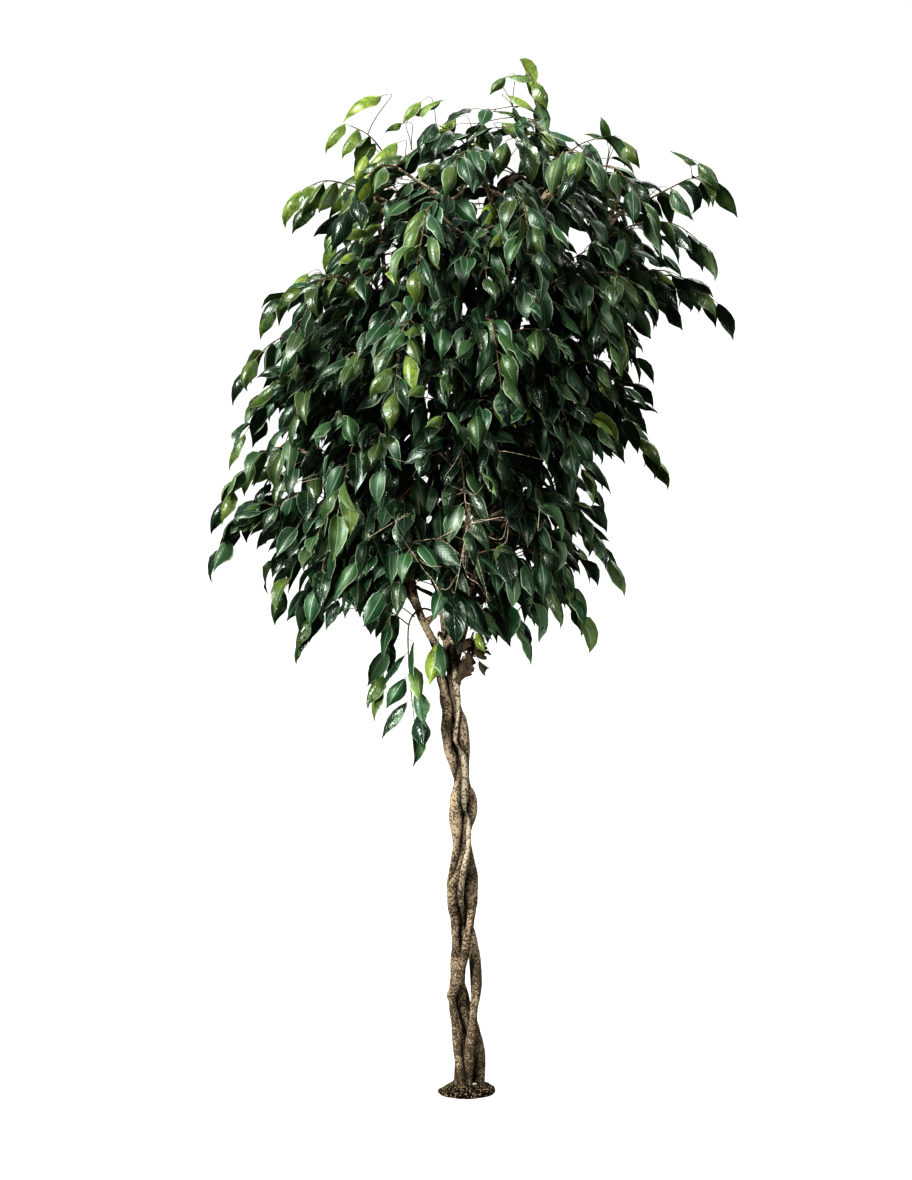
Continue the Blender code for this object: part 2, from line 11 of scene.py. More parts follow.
import bmesh
import bpy
import numpy as np
from bpy.props import FloatProperty, FloatVectorProperty, IntProperty, PointerProperty
from bpy.types import Operator, Panel, PropertyGroup
from mathutils import Euler, Matrix, Vector, noise


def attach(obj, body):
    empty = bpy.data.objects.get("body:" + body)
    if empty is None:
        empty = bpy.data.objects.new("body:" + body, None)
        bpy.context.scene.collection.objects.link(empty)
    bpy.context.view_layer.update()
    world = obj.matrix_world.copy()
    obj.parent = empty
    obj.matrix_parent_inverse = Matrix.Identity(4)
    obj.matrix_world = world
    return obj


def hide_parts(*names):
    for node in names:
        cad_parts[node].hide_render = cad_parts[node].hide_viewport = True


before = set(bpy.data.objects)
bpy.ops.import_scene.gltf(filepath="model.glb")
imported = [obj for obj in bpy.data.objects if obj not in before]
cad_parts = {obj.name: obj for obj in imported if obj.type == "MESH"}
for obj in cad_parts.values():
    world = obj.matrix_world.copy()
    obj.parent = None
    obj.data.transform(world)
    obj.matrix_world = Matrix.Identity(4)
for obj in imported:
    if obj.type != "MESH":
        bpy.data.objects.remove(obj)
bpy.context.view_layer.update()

bl_info = {
    "name": "Weeping Fig",
    "version": (1, 0, 0),
    "blender": (4, 5, 0),
    "location": "View3D > Sidebar > Fig",
    "description": "Dresses the weeping fig's solids with bark, soil and leaves",
    "category": "Object",
}

MM = 0.001
SEED = 14
UP = Vector((0, 0, 1))
SEAT_GAP = 0.3 * MM
FRONT_MIDDLE = -19 * MM

# The soil pad, as in its solid: a low mound with a rim that waves in and out.
SOIL_PROFILE_MM = [(49, 0), (49, 4), (46, 8.5), (39, 13), (28, 17.5), (14, 21), (0, 22)]
SOIL_WAVES = [(3, 0.021, 0.7), (7, 0.014, 0.0)]
STEM_FOOT_Z = 7 * MM

# The soil's thin left tip: from where in its radius, how much longer, and how much lower at the most.
SOIL_RADIUS = SOIL_PROFILE_MM[0][0] * MM
TIP_FROM = 0.4
TIP_STRETCH = 0.05
TIP_THINNING = 0.7

# The crumbs that the soil's top is raised in, how far out its loose grains lie, and its one pale pebble.
CRUMB_LENGTH = 5 * MM
CRUMB_HEIGHT = 1.6 * MM
GRAINS_REACH = 47 * MM
GRAIN_SHARES = {"dark_grains": 0.75, "pale_grains": 0.25}
PEBBLE_PLACE = (14 * MM, -24 * MM, 20 * MM)
PEBBLE_HALVES = (4 * MM, 3 * MM, 2.6 * MM)

# Each stem: a plaited length up to the crown, then its own leader. Places are x, y, z in mm.
PLAIT_TOP = 771 * MM
PLAIT_STEP = 24 * MM
LEADER_STEP = 88 * MM
CURVE_STEP = 6 * MM
PLAIT_GAP = 0.5 * MM
FOOT_GAP = 3.5 * MM
FOOT_TOP = 60 * MM
SPREAD_ROUNDS = 260
SPREAD_SHARE = 0.6
SPREAD_PARTS = 5

STEMS = {
    "stem_1": {
        "radius": 9.6 * MM,
        "tip_radius": 3.2 * MM,
        "sides": 7,
        "bark": "bark",
        "plait": [
            (3, -18, 7), (2, -16, 45), (1, -15, 82), (9, -13, 117), (12, -10, 152), (16, -2, 195),
            (17, 3, 221), (13, 9, 256), (3, 12, 291), (-14, 8, 344), (-20, 1, 378), (-19, -6, 431),
            (-17, -8, 483), (-14, -4, 535), (-6, -2, 570), (-5, 0, 605), (-7, 3, 640), (-20, 0, 692),
            (-24, -3, 727), (-31, -2, 771),
        ],
        "leader": [
            (-40, 4, 867), (-28, 8, 971), (-4, 6, 1111), (24, 2, 1250), (46, -4, 1390), (62, -6, 1500),
            (72, 0, 1590),
        ],
    },
    "stem_2": {
        "radius": 9.6 * MM,
        "tip_radius": 3.0 * MM,
        "sides": 7,
        "bark": "bark",
        "plait": [
            (-16, 1, 7), (-13, 0, 38), (-19, -3, 82), (-19, -4, 117), (-21, -9, 152), (-19, -14, 187),
            (-15, -17, 221), (-7, -17, 256), (1, -15, 291), (6, -9, 326), (9, 0, 361), (9, 8, 395),
            (-2, 11, 431), (-10, 12, 483), (-19, 10, 535), (-22, 2, 570), (-30, -3, 605), (-33, -5, 640),
            (-37, -6, 692), (-39, -6, 727), (-45, -4, 771),
        ],
        "leader": [
            (-58, -6, 808), (-84, -12, 848), (-104, -10, 950), (-120, 5, 1080), (-130, 15, 1220),
            (-138, 20, 1360), (-150, 12, 1500), (-162, 0, 1590),
        ],
    },
    "stem_3": {
        "radius": 9.2 * MM,
        "tip_radius": 4.2 * MM,
        "sides": 7,
        "bark": "bark",
        "plait": [
            (21, 4, 7), (22, 3, 38), (19, 6, 82), (12, 10, 117), (2, 12, 152), (-10, 11, 187),
            (-16, 8, 221), (-17, 6, 256), (-17, 1, 291), (-17, -6, 326), (-15, -11, 361),
            (-8, -11, 395), (-1, -10, 431), (8, -4, 483), (8, 5, 535), (-6, 14, 570), (-16, 14, 605),
            (-24, 11, 640), (-29, 11, 692), (-26, 12, 727), (-20, 12, 771),
        ],
        "leader": [
            (0, 22, 850), (44, 42, 975), (98, 55, 1110), (148, 52, 1250), (194, 38, 1390),
            (236, 22, 1500), (264, 8, 1570),
        ],
    },
    "stem_4": {
        "radius": 5.8 * MM,
        "tip_radius": 2.6 * MM,
        "sides": 5,
        "bark": "pale_bark",
        "plait": [
            (3, 18, 7), (2, 18, 40), (2, 19, 82), (-4, 21, 152), (0, 16, 221), (0, 7, 256),
            (-3, -2, 291), (-7, -12, 317), (-11, -20, 344), (-9, -24, 370), (-4, -25, 405),
            (2, -23, 440), (2, -19, 483), (-1, -18, 535), (-1, -18, 570), (-9, -16, 605),
            (-17, -14, 640), (-14, -15, 666), (-16, -16, 692), (-19, -15, 727), (-25, -15, 771),
        ],
        "leader": [
            (-24, -46, 860), (-4, -92, 985), (26, -124, 1120), (52, -132, 1260), (66, -126, 1390),
            (74, -112, 1500),
        ],
    },
}

# The crown, in mm: at each height, the x of its middle line, and its half width seen from the front.
CROWN_MIDDLE = [(600, -70), (850, -60), (1000, -70), (1200, -25), (1400, 20), (1600, 70), (1800, 85)]
CROWN_HALF = [(600, 80), (750, 190), (850, 262), (1000, 320), (1200, 345), (1400, 345), (1550, 290),
              (1650, 220), (1800, 40)]
CROWN_DEPTH = 0.88

# The tips of the outermost leaves, x, y, z in mm: the crown's ragged edge as the front shows it.
EDGE_TIPS = [
    (-288, -60, 1530), (-343, 50, 1335), (-385, -50, 1215), (-398, 60, 1110), (-425, -60, 992),
    (-437, 50, 908), (-322, -60, 838), (-292, 60, 765), (-160, 10, 668), (-72, -65, 602),
    (95, -40, 772), (206, 30, 785), (250, -70, 893), (335, 20, 1067), (440, 0, 1332),
    (402, -70, 1432), (438, 40, 1572), (84, 0, 1795), (-214, 10, 1690), (238, -20, 1665),
    (-58, -60, 1680), (-20, -150, 815), (40, 140, 800),
]
YOUNG_SPRAYS = (0, 17, 18)

# Sprays round the front and the back, in rows by height in mm, at alternate bearings in degrees.
FACE_ROWS = [1585, 1480, 1375, 1270, 1165, 1060, 955, 850]
FACE_BEARINGS = (22, 53)
FACE_SHIFT = 22 * MM
FACE_SWING = 9

# A spray's twig by its tip's height, in mm: how far in and how far above its end its root is.
EDGE_SPAN = [(600, 45), (700, 70), (850, 120), (1200, 140), (1500, 140), (1640, 90), (1800, 35)]
EDGE_RISE = [(600, 190), (700, 150), (850, 95), (1200, 55), (1500, 0), (1640, -70), (1800, -120)]
FACE_SPAN = [(700, 60), (850, 85), (1500, 100), (1620, 90)]
FACE_RISE = [(700, 140), (850, 120), (1400, 100), (1500, 60), (1620, -20)]
TIP_BACK = 12 * MM
TIP_UP = [(600, 56), (1500, 56), (1640, 0)]
TWIG_FALL = [(600, 2.2), (1200, 1.7), (1500, 1.2), (1640, 0.0), (1800, -0.8)]
TWIG_RADII = (2.3 * MM, 1.5 * MM)
TWIG_STUB = 10 * MM
TWIG_PARTS = 3
TWIG_PULLS = (0.35, 0.30)
TWIG_TURNS = (0, 14, -14, 28, -28, 45, -45)
UPRIGHT_BELOW = 50 * MM
UPRIGHT_OUT = 0.35

# The limb that carries it, from a leader's middle line.
LIMB_RADII = (4.6 * MM, 2.6 * MM)
LIMB_PARTS = 3
LIMB_RISE = math.radians(24)
LIMB_START_RISE = 1.1
LIMB_PULLS = (0.38, 0.32)
LIMB_SPACING = 24 * MM
FOOT_STEP = 12 * MM
BEST_CLIMB = 0.75
CLIMB_WEIGHT = 1.2
CLEARANCE = 1.5 * MM
SAMPLE_STEP = 4 * MM

# A leaf's seat on its twig, as in the solids: alternate sides, leaning out, on along the twig and down.
LEAF_PITCH = 20.5 * MM
LEAF_LENGTH = (68 * MM, 82 * MM)
LEAF_FACING = 42
FACING_SWING = 15
FACING_UP = 0.3
END_ROOT_BACK = 2 * MM
SIDE_STALK = {"side": 0.8, "on": 0.45, "down": 0.1, "sway": 0.12}
SIDE_BLADE = {"side": 0.42, "out": 0.28, "on": 0.15, "down": 0.85, "sway": 0.14}
END_STALK = {"on": 1.0, "down": 0.1, "sway": 0.1}
END_BLADE = {"out": 0.25, "on": 0.2, "down": 0.9, "sway": 0.08}

# How each stem's bark bends and swells beyond its solid, where the stems press together as the front shows:
# the height, how far the bark goes to the right and to the back there, in mm, and its share of the radius.
FINE_STEMS = {
    "stem_1": [
        (0, 0, 0, 0.9), (30, 1.4, 0, 0.7), (47, 2.1, 0, 0.78), (65, 3.1, 0, 0.9), (82, 4.7, 0, 0.92),
        (99, 2.6, 0, 0.87), (117, 1.6, 0, 0.8), (134, 0.7, 0, 0.74), (152, 0.5, 0, 0.74),
        (169, 1.4, 0, 0.83), (187, 1, 0, 0.95), (204, -0.2, 0, 1.09), (221, -1.4, 0, 1.15),
        (239, -3.3, 0, 1.15), (256, -4.7, 0, 1.13), (274, -3.5, 0, 1.1), (309, -1.7, 0, 1.1),
        (344, -3.5, 0, 1.1), (361, -4.7, 0, 1.2), (378, 0, 0, 1.17), (396, 2.3, 0, 1.1),
        (413, 3.7, 0, 1.07), (431, 5, 0, 1.05), (448, 3.1, 0, 1.1), (466, 0.4, 0, 1.2),
        (483, -2.2, 0, 1.22), (518, -1.8, 0, 1.2), (535, -2.6, 0, 1.15), (553, 0, 0, 1.15),
        (657, -0.9, 0, 1.05), (675, -3.1, 0, 1), (692, -2.6, 0, 1), (727, 0, 0, 1.05), (771, 0, 0, 1.1),
        (1000, 0, 0, 1),
    ],
    "stem_2": [
        (0, 7, -12, 1.5), (12, 7, -11, 1.47), (30, 4.2, -9, 1.38), (47, 3.1, -7, 1.12),
        (65, 2.6, -4, 0.91), (82, 2.6, -2, 0.85), (99, 2.1, 0, 0.82), (117, 0, 0, 0.75),
        (134, -2.4, 0, 0.66), (152, -4.4, 0, 0.58), (160, -5.2, 0, 0.58), (169, -5.2, 0, 0.7),
        (178, -3.3, 0, 0.95), (187, -0.9, 0, 1.14), (196, 0, 0, 1.25), (204, 0.4, 0, 1.3),
        (212, 3, 0, 1.04), (221, 4.9, 0, 0.76), (239, 6.1, 0, 0.74), (256, 5.4, 0, 0.74),
        (274, 3.1, 0, 0.78), (291, -0.5, 0, 0.8), (309, -1.9, 0, 0.75), (326, -0.9, 0, 0.78),
        (335, 0, 0, 1.1), (344, -0.5, 0, 1.27), (361, -1.5, 0, 1.32), (378, -1.6, 0, 1.25),
        (396, -2.6, 0, 1.1), (413, -1.4, 0, 1.1), (448, 0, 0, 1.1), (483, 0, 0, 1.1), (518, 4.4, 0, 1),
        (535, 7, 0, 1), (553, 9.4, 0, 1), (570, 5.8, 0, 1), (588, 3, 0, 1), (605, -0.9, 0, 1),
        (623, -2.8, 0, 0.92), (640, -3.7, 0, 0.9), (657, 0.2, 0, 0.95), (675, 3, 0, 1), (692, 1, 0, 1.02),
        (710, 1.6, 0, 0.9), (727, -1.7, 0, 0.91), (745, -1, 0, 1), (771, 0, 0, 1), (795, 0, 0, 0.82),
        (830, 0, 0, 0.68), (900, 0, 0, 0.75), (1000, 0, 0, 1),
    ],
    "stem_3": [
        (0, 0.5, 0, 1.2), (30, 0.5, 0, 1.13), (65, 1, 0, 1.17), (82, 0, 0, 1.17), (99, -1.9, 0, 1.23),
        (117, -3.8, 0, 1.32), (134, -8, 0, 1.45), (152, -9.5, 0, 1.47), (160, -8.2, 0, 1.47),
        (169, -6.1, 0, 1.45), (187, -4.9, 0, 1.42), (204, -1.6, 0, 1.4), (221, 0, 0, 1.4),
        (239, -2.4, 0, 1), (256, 0, 0, 1.04), (274, 0.2, 0, 0.92), (291, 0.7, 0, 0.9),
        (309, 0.5, 0, 1.05), (326, -2.4, 0, 1.27), (344, -5.2, 0, 1.4), (361, -7.3, 0, 1.36),
        (378, -3.7, 0, 1.25), (396, -1, 0, 1.2), (431, -2.6, 0, 1), (448, -5.8, 0, 1.05),
        (466, -6.6, 0, 1.08), (483, -4.4, 0, 1.08), (501, -1.9, 0, 1.1), (518, -2.6, 0, 1.1),
        (527, -5.9, 0, 1.1), (535, -9.8, 0, 1.1), (544, -10.3, 0, 1.1), (553, -7.5, 0, 1.13),
        (570, -1.7, 0, 1.13), (605, 0, 0, 1.2), (640, 0, 0, 1.2), (771, 0, 0, 1.1), (1000, 0, 0, 1),
    ],
    "stem_4": [
        (0, 5.5, 0, 1.75), (38, 5.5, 0, 1.75), (52, 1, 0, 1.5), (68, -4, 0, 1.2), (82, -6.5, 0, 1.1),
        (99, -6.5, 0, 1.2), (117, -6.5, 0, 1.5), (134, -6.5, 0, 1.8), (152, -5.5, 0, 1.8),
        (169, -5, 0, 1.4), (187, -7, 0, 1), (204, -7.8, 0, 0.9), (221, -7, 0, 0.9), (239, -4.4, 0, 0.9),
        (256, -1.7, 0, 0.85), (274, -3, 2, 1), (291, -3, 8, 1.1), (309, 0, 10, 0.9), (318, 1.4, 6, 0.42),
        (326, 0.9, 3, 0.42), (335, -1, 0, 0.54), (344, -2.3, 0, 0.66), (352, -3.1, 0, 0.84),
        (361, -2.4, 0, 0.96), (370, -1.7, 0, 1), (378, -1.7, 0, 0.93), (396, -0.4, 0, 0.9),
        (413, 0.5, 0, 0.96), (431, 0.4, 0, 0.84), (448, 0.5, 0, 0.7), (466, 0.5, 0, 0.69),
        (483, 1.6, 1, 0.6), (492, -1.7, 5, 0.45), (501, -4.4, 3, 0.57), (509, -4.5, 0, 0.84),
        (518, -3.8, 0, 1.05), (535, -2.3, 0, 1.14), (553, -3, 0, 1.1), (570, -2.4, 0, 1.02),
        (588, -0.7, 0, 1), (596, 0, 0, 0.84), (605, -2.3, 6, 0.6), (614, -5.2, 7, 0.45),
        (623, -6.6, 0, 0.54), (631, -4.4, 0, 0.63), (640, -2.6, 0, 0.69), (657, -0.9, 0, 0.69),
        (675, -0.2, 0, 0.6), (692, 0.3, 0, 0.6), (710, -0.5, 0, 0.84), (727, -1.7, 0, 0.9),
        (745, -1.2, 0, 0.84), (771, -1, 0, 0.8), (860, 0, 0, 0.9), (1000, 0, 0, 1),
    ],
}

# Knots, and hollows where the height is below 0, in mm: x, y, z, height, radius.
KNOTS_MM = [(-34, -9, 173, 4.5, 6), (-28, -12, 181, 2.0, 9), (14, -12, 214, 1.5, 8), (-17, -24, 371, 2.0, 4),
            (24, -2, 118, 1.6, 9), (-24, -10, 372, 2.0, 11), (16, -8, 486, 2.2, 12), (-28, -6, 520, 1.6, 9),
            (-36, -12, 690, 2.0, 9), (-16, 20, 300, 2.5, 9), (12, 22, 470, 2.5, 10), (-27, -22, 728, 2.2, 4),
            (-24, -9, 607, -4.0, 8), (-3, -14, 490, -2.5, 5)]

# Creases across the front of the bark, in mm: x and z of one end, then of the other.
CREASES_MM = [(-10, 190, -13, 180), (-13, 180, -21, 169), (-17, 150, -7, 156), (-24, 313, -15, 316),
              (-27, 298, -14, 298), (-23, 56, -14, 16), (-26, 262, -17, 244), (-8, 455, -11, 437)]

# Twigs low on the stems, in mm: the one that bears a young leaf with a dark one beside it, and the one that
# bears a clump of dry leaves, with its side twig.
LOW_TWIGS = {
    "young": [(-42, -14, 800), (-48, -40, 812), (-50, -59, 806)],
    "dry": [(-18, -12, 752), (-10, -20, 760), (-1, -26, 770), (5, -30, 788), (12, -30, 812)],
    "side": [(-6, -22, 766), (6, -34, 772), (16, -36, 770)],
}
# Each leaf on the young twig: its root, which way it hangs and which way it faces, its length and its age.
YOUNG_LEAVES = [((-50, -59, 806), (-0.07, -0.17, -1), (-0.2, -1, 0.1), 80, 0.95),
                ((-50, -59, 806), (0.2, -0.21, -1), (0.7, -1, 0.1), 70, 0.05)]
# Each dry leaf: its root, which way it hangs, and its length.
DRY_LEAVES = [((3, -30, 794), (0.0, -0.2, -1), 52), ((-2, -26, 778), (-0.1, -0.3, -1), 56),
              ((14, -30, 808), (0.6, 0.1, -1), 60), ((16, -36, 773), (0.5, -0.3, -1), 36),
              ((6, -34, 776), (0.1, -0.5, -1), 38), ((8, -30, 804), (0.8, -0.4, -0.7), 40),
              ((-4, -24, 776), (0.4, -0.2, -1), 42), ((10, -30, 812), (-0.3, -0.6, -0.8), 46),
              ((1, -28, 790), (0.7, -0.2, -0.5), 36), ((10, -28, 810), (0.1, 0.3, -1), 44),
              ((12, -32, 800), (0.3, -0.7, -1), 34), ((4, -34, 798), (-0.5, -0.5, -0.6), 34)]

# How far a spray's twig bows and leans to the right of its solid, in mm, by the spray's number from 0.
LEANS_MM = {9: -22}

# The crown's lower outline from left to right, in mm: x, z.
CROWN_FLOOR = [(-470, 912), (-413, 877), (-344, 837), (-309, 812), (-239, 802), (-221, 837), (-169, 817),
               (-134, 812), (-117, 847), (-82, 872), (-47, 862), (-12, 822), (23, 787), (58, 757),
               (92, 772), (127, 802), (162, 822), (197, 762), (232, 797), (249, 874)]

# Single leaves at the crown's edge and over its gaps: x and z of the root and of the tip, and y, in mm, then
# the leaf's age and how much it faces the front.
EDGE_LEAVES = [
    (-147, 1737, -214, 1686, -20, 1.0, 0.35), (-80, 1728, -108, 1686, -10, 0.75, 0.3),
    (-92, 1706, -42, 1728, -10, 0.6, 0.3), (-113, 1693, -141, 1674, 0, 0.8, 0.4),
    (-120, 1655, -174, 1606, -30, 0.85, 0.4), (-174, 1634, -192, 1580, -25, 0.9, 0.6),
    (-19, 1699, -51, 1672, -20, 0.65, 0.3), (-5, 1668, -33, 1640, -20, 0.1, 0.5),
    (66, 1770, 40, 1737, -10, 0.3, 0.6), (72, 1771, 117, 1758, -10, 0.35, 0.2),
    (73, 1737, 113, 1708, -20, 0.9, 0.3), (96, 1699, 47, 1705, -25, 0.1, 0.3),
    (59, 1690, 112, 1668, -25, 0.85, 0.4), (131, 1674, 159, 1632, -20, 0.85, 0.5),
    (119, 1652, 150, 1627, -30, 0.35, 0.7), (242, 1665, 230, 1702, 0, 0.15, 0.8),
    (239, 1667, 202, 1672, 0, 0.1, 0.3), (270, 1660, 298, 1608, -10, 0.3, 0.6),
    (398, 1622, 352, 1640, 0, 0.1, 0.4), (401, 1625, 440, 1578, 0, 0.15, 0.5),
    (357, 1575, 389, 1526, 0, 0.0, 0.5), (-263, 1554, -304, 1502, 0, 0.1, 0.4),
    (-213, 1540, -262, 1499, -10, 0.0, 0.4), (-204, 1535, -242, 1486, -20, 0.0, 0.5),
    (-276, 1434, -309, 1396, 0, 0.8, 0.4), (-274, 1425, -296, 1388, -10, 0.6, 0.6),
    (19, 1608, 12, 1665, -40, 1.0, 0.7), (30, 1617, 40, 1655, -45, 0.9, 0.5),
    (12, 1625, 2, 1655, -40, 0.9, 0.6), (26, 1634, 23, 1674, -38, 1.0, 0.8),
    (37, 1608, 46, 1636, -42, 0.8, 0.6), (-84, 1082, -70, 1016, -160, 0.1, 0.9),
    (-60, 1064, -72, 1000, -150, 0.0, 0.8), (-95, 1040, -88, 975, -160, 0.2, 0.9),
    (-48, 1030, -40, 965, -150, 0.0, 0.8), (-24, 876, -21, 796, -155, 0.0, 0.95),
    (-14, 876, 30, 802, -70, 0.0, 0.8), (16, 812, 32, 780, -55, 0.9, 0.7),
    (152, 1606, 132, 1546, -205, 0.25, 0.8), (190, 1616, 172, 1552, -200, 0.35, 0.7),
    (212, 1600, 228, 1540, -190, 0.1, 0.6), (64, 1632, 47, 1572, -190, 0.2, 0.8),
    (96, 1626, 108, 1562, -200, 0.1, 0.7), (176, 1580, 150, 1520, -215, 0.0, 0.9),
]

# Gaps that let the light behind the crown through, as the front shows them, in mm: x, z and radius. Then
# how far beyond a gap a leaf's middle stays, to the side and in height.
GAPS_MM = [(-85, 1060, 12), (-45, 1107, 11), (91, 940, 11), (298, 1149, 11), (143, 1571, 10), (242, 1578, 8),
           (244, 1510, 8), (188, 1456, 5), (312, 1435, 9), (-127, 1461, 12), (-160, 1407, 9), (-10, 1588, 16),
           (63, 1616, 13), (30, 1545, 8), (-303, 1149, 6)]
GAP_MARGINS_MM = (8, 18)

# Bare twigs across the crown's dark middle, as the front shows them, in mm: x and z along each, and between
# which y they all lie.
BARE_DEPTHS = (-285, -215)
BARE_TWIGS = [
    [(-49, 978), (-17, 980), (20, 957)], [(-44, 976), (-10, 950), (9, 952)],
    [(-3, 1038), (10, 1031), (20, 1008)], [(-49, 1038), (-32, 1021)], [(-3, 989), (16, 1008), (63, 1008)],
    [(-72, 926), (-58, 912), (-46, 891)], [(-69, 935), (-42, 933)], [(-33, 894), (-17, 919)],
    [(-7, 935), (10, 916)], [(-117, 1001), (-94, 1019)], [(52, 976), (66, 1010)],
    [(60, 1121), (127, 1107)], [(-164, 1129), (-127, 1111), (-89, 1100)],
    [(-37, 1073), (-21, 1102), (2, 1146)], [(-291, 1067), (-244, 1077)], [(-159, 982), (-98, 1020)],
    [(-21, 1094), (-47, 1120)], [(60, 1013), (67, 993), (63, 973), (54, 966)],
    [(-3, 924), (17, 905), (31, 882)], [(-16, 914), (-23, 879)], [(31, 888), (20, 865)],
    [(-9, 1059), (9, 1042), (23, 1008)], [(12, 1050), (26, 1067), (29, 1076)], [(117, 991), (127, 1010)],
]

# The crown as the front shows it, in mm: at each height, how far its leaves reach to the left and right.
CROWN_SIDES = [(740, -260, 170), (800, -305, 206), (900, -370, 241), (950, -425, 250), (1050, -396, 255),
               (1150, -387, 337), (1300, -365, 335), (1350, -343, 425), (1450, -230, 398), (1550, -235, 385),
               (1600, -150, 335), (1650, -126, 232), (1700, -108, 136), (1760, 0, 110)]
CROWN_DEEPEST = 300 * MM

# The blade's outline, by rows from its neck to the drip tip: share of the length, share of the half width.
BLADE_ROWS = [(0.05, 0.47), (0.17, 0.87), (0.35, 1.0), (0.54, 0.91), (0.72, 0.59), (0.86, 0.21)]
STALK_ROWS = 3
LEAF_SEGMENTS = 8
LEAF_RINGS = 9

# A leaf's map runs from 0 at the blade's neck to 1 at its tip. The stalk's rings lie before that, and the
# underside is moved on by a shift, by which the material tells the two sides apart.
STALK_MARKS = (-0.16, -0.14, 0.0)
UNDERSIDE = 2.0

# How one leaf differs from the next, as the least and the most. Width, bend and wave are shares of the usual
# ones, and curl is further bend. Groove, dome and dish say how the blade is folded and arched across, as
# shares of its half width, the dish for the share of leaves that are hollow above. Twist is in radians, and
# sway and hook say how the blade turns aside and bends its tip.
LEAF_VARIES = {
    "width": (0.88, 1.06),
    "bend": (0.35, 1.6),
    "curl": (0.3, 1.3),
    "groove": (0.05, 0.55),
    "dome": (0.35, 0.95),
    "dish": (-0.3, 0.1),
    "twist": (-0.55, 0.55),
    "sway": (-0.25, 0.25),
    "hook": (-0.9, 0.7),
    "wave": (0.3, 1.4),
}
DISHED_SHARE = 0.2
HOOK_FROM = 0.85

# The side veins: how far they slant towards the tip, and their waves along the blade in radians, so that one
# stands every 7 or 8 mm as on a real leaf.
VEIN_SLANT = 0.32
VEIN_WAVES = 62.0

# The size of each pattern in the materials. Clouds on a leaf, patches on a dead one, the bark's speckles and
# stains and the soil's crumbs have their real size. A leaf's mottle and wrinkles, the bark's grain and the
# mottle of grit are finer on the plant, and are drawn as coarse as it takes for the render to show them.
LEAF_CLOUD = 18.2 * MM
LEAF_MOTTLE = 2.38 * MM
LEAF_WRINKLE = 2.94 * MM
DRY_PATCH = 11.1 * MM
BARK_SPECKLE = 3.23 * MM
SPECKLE_CELL = 3.33 * MM
BARK_STAIN = 29.4 * MM
BARK_GRAIN = 1.11 * MM
SOIL_CRUMB = 2.78 * MM
SOIL_GRAIN = 2.38 * MM
GRIT_MOTTLE = 3.33 * MM

# The bark's swellings come out longer than wide, because only this share of the height counts for them. Then
# its grain, and its creases with how high up the front they go.
LUMP_STRETCH = 0.6
GRAIN_LENGTH = 4 * MM
CREASE_DEPTH = 1.2 * MM
CREASE_REACH = 2.6 * MM
CREASE_TOP = 500 * MM

# How near another stem's bark the bark gets painted shade, as in crevices, worked out for so many points at a
# time.
CREVICE_SHADE_REACH = 10 * MM
CREVICE_BATCH = 1000

# How much wider a limb is where it leaves its stem, and over what length. Then how close a tube's points are
# when they are made one.
FLARE_SHARE = 0.8
FLARE_LENGTH = 14 * MM
WELD_GAP = 0.002 * MM

# Side twigs: the box in metres that their ends lie in, how much of the crown's form they fill, and how far
# out and down from an end its leaf reaches.
ENDS_BOX = ((-0.45, 0.45), (-0.31, 0.31), (0.80, 1.74))
CROWN_FILL = 0.97
END_LEAF_OUT = 25 * MM
END_LEAF_DOWN = 50 * MM

# A side twig starts at the place on a limb or twig that costs least: what each metre of an unusual length
# costs, what a way straight outwards saves, and what an unusual rise costs. Then the shares of rise and fall
# that it sets out and comes in with, and its curve's pulls and parts.
START_STEP = 12 * MM
LENGTH_COST = 8
OUTWARD_GAIN = 0.5
RISE_COST = 0.4
USUAL_RISE = 0.1
SIDE_TWIG_RISES = (0.3, 1.0)
SIDE_TWIG_FALLS = (0.7, 1.2)
SIDE_TWIG_PULLS = (0.45, 0.35)
SIDE_TWIG_PARTS = 5

# How a side twig's leaf hangs at the crown's edge, where all of this counts in full: the share of its own way
# that the blade and the face lose, how far the blade sways and the face turns up and out instead, and how
# much shorter the leaf is. A leaf gets a random share of it. Every face also turns by some radians, and every
# such leaf is shorter at random.
BLADE_LOSS = 0.45
BLADE_SWAYS = {"out": (0.5, 1.2), "across": (-0.6, 0.6), "up": (-0.5, 0.45)}
FACE_LOSS = 0.6
FACE_OUT = 0.4
FACE_LIFTS = (0.4, 1.0)
FACE_TURNS = (-0.8, 0.8)
SIDE_LEAF_SHARES = (0.78, 1.0)
EDGE_LEAF_LOSS = 0.15
EDGE_SHARES = (0.4, 1.0)

# A spray's own twig has at most so many leaves, and those of its side twigs sway more by so much.
MOST_LEAVES = 8
SIDE_TWIG_LOOSER = 0.3

# The crown thins out towards its top, its side twigs from one height on and its leaves from another, and
# young leaves are more usual from a height on.
THIN_TWIGS_FROM = 1500 * MM
THIN_TWIGS_SPAN = 300 * MM
THIN_LEAVES_FROM = 1560 * MM
THIN_LEAVES_SPAN = 220 * MM
YOUNG_FROM = 1400 * MM
YOUNG_SPAN = 250 * MM

# How young leaves are, from 0 to 1: on a young spray's first twigs, and on a twig that is young by chance,
# less so inside the crown. Youth falls from leaf to leaf up a twig and differs at random, the leaves at the
# crown's edge may be a little younger, and a few stray leaves are young anywhere.
SPRAY_YOUTH = 0.9
SPRAY_YOUNG_TWIGS = 3
YOUNG_CHANCE_LOW = 0.03
YOUNG_CHANCE_ADDED = 0.2
TWIG_YOUTHS = (0.3, 0.75)
INNER_YOUTH = 0.35
YOUTH_LOSS = 0.2
YOUTH_SHARES = (0.8, 1.0)
EDGE_YOUTHS = (-0.27, 0.4)
STRAY_YOUTH = 0.8
STRAY_CHANCE = 0.015

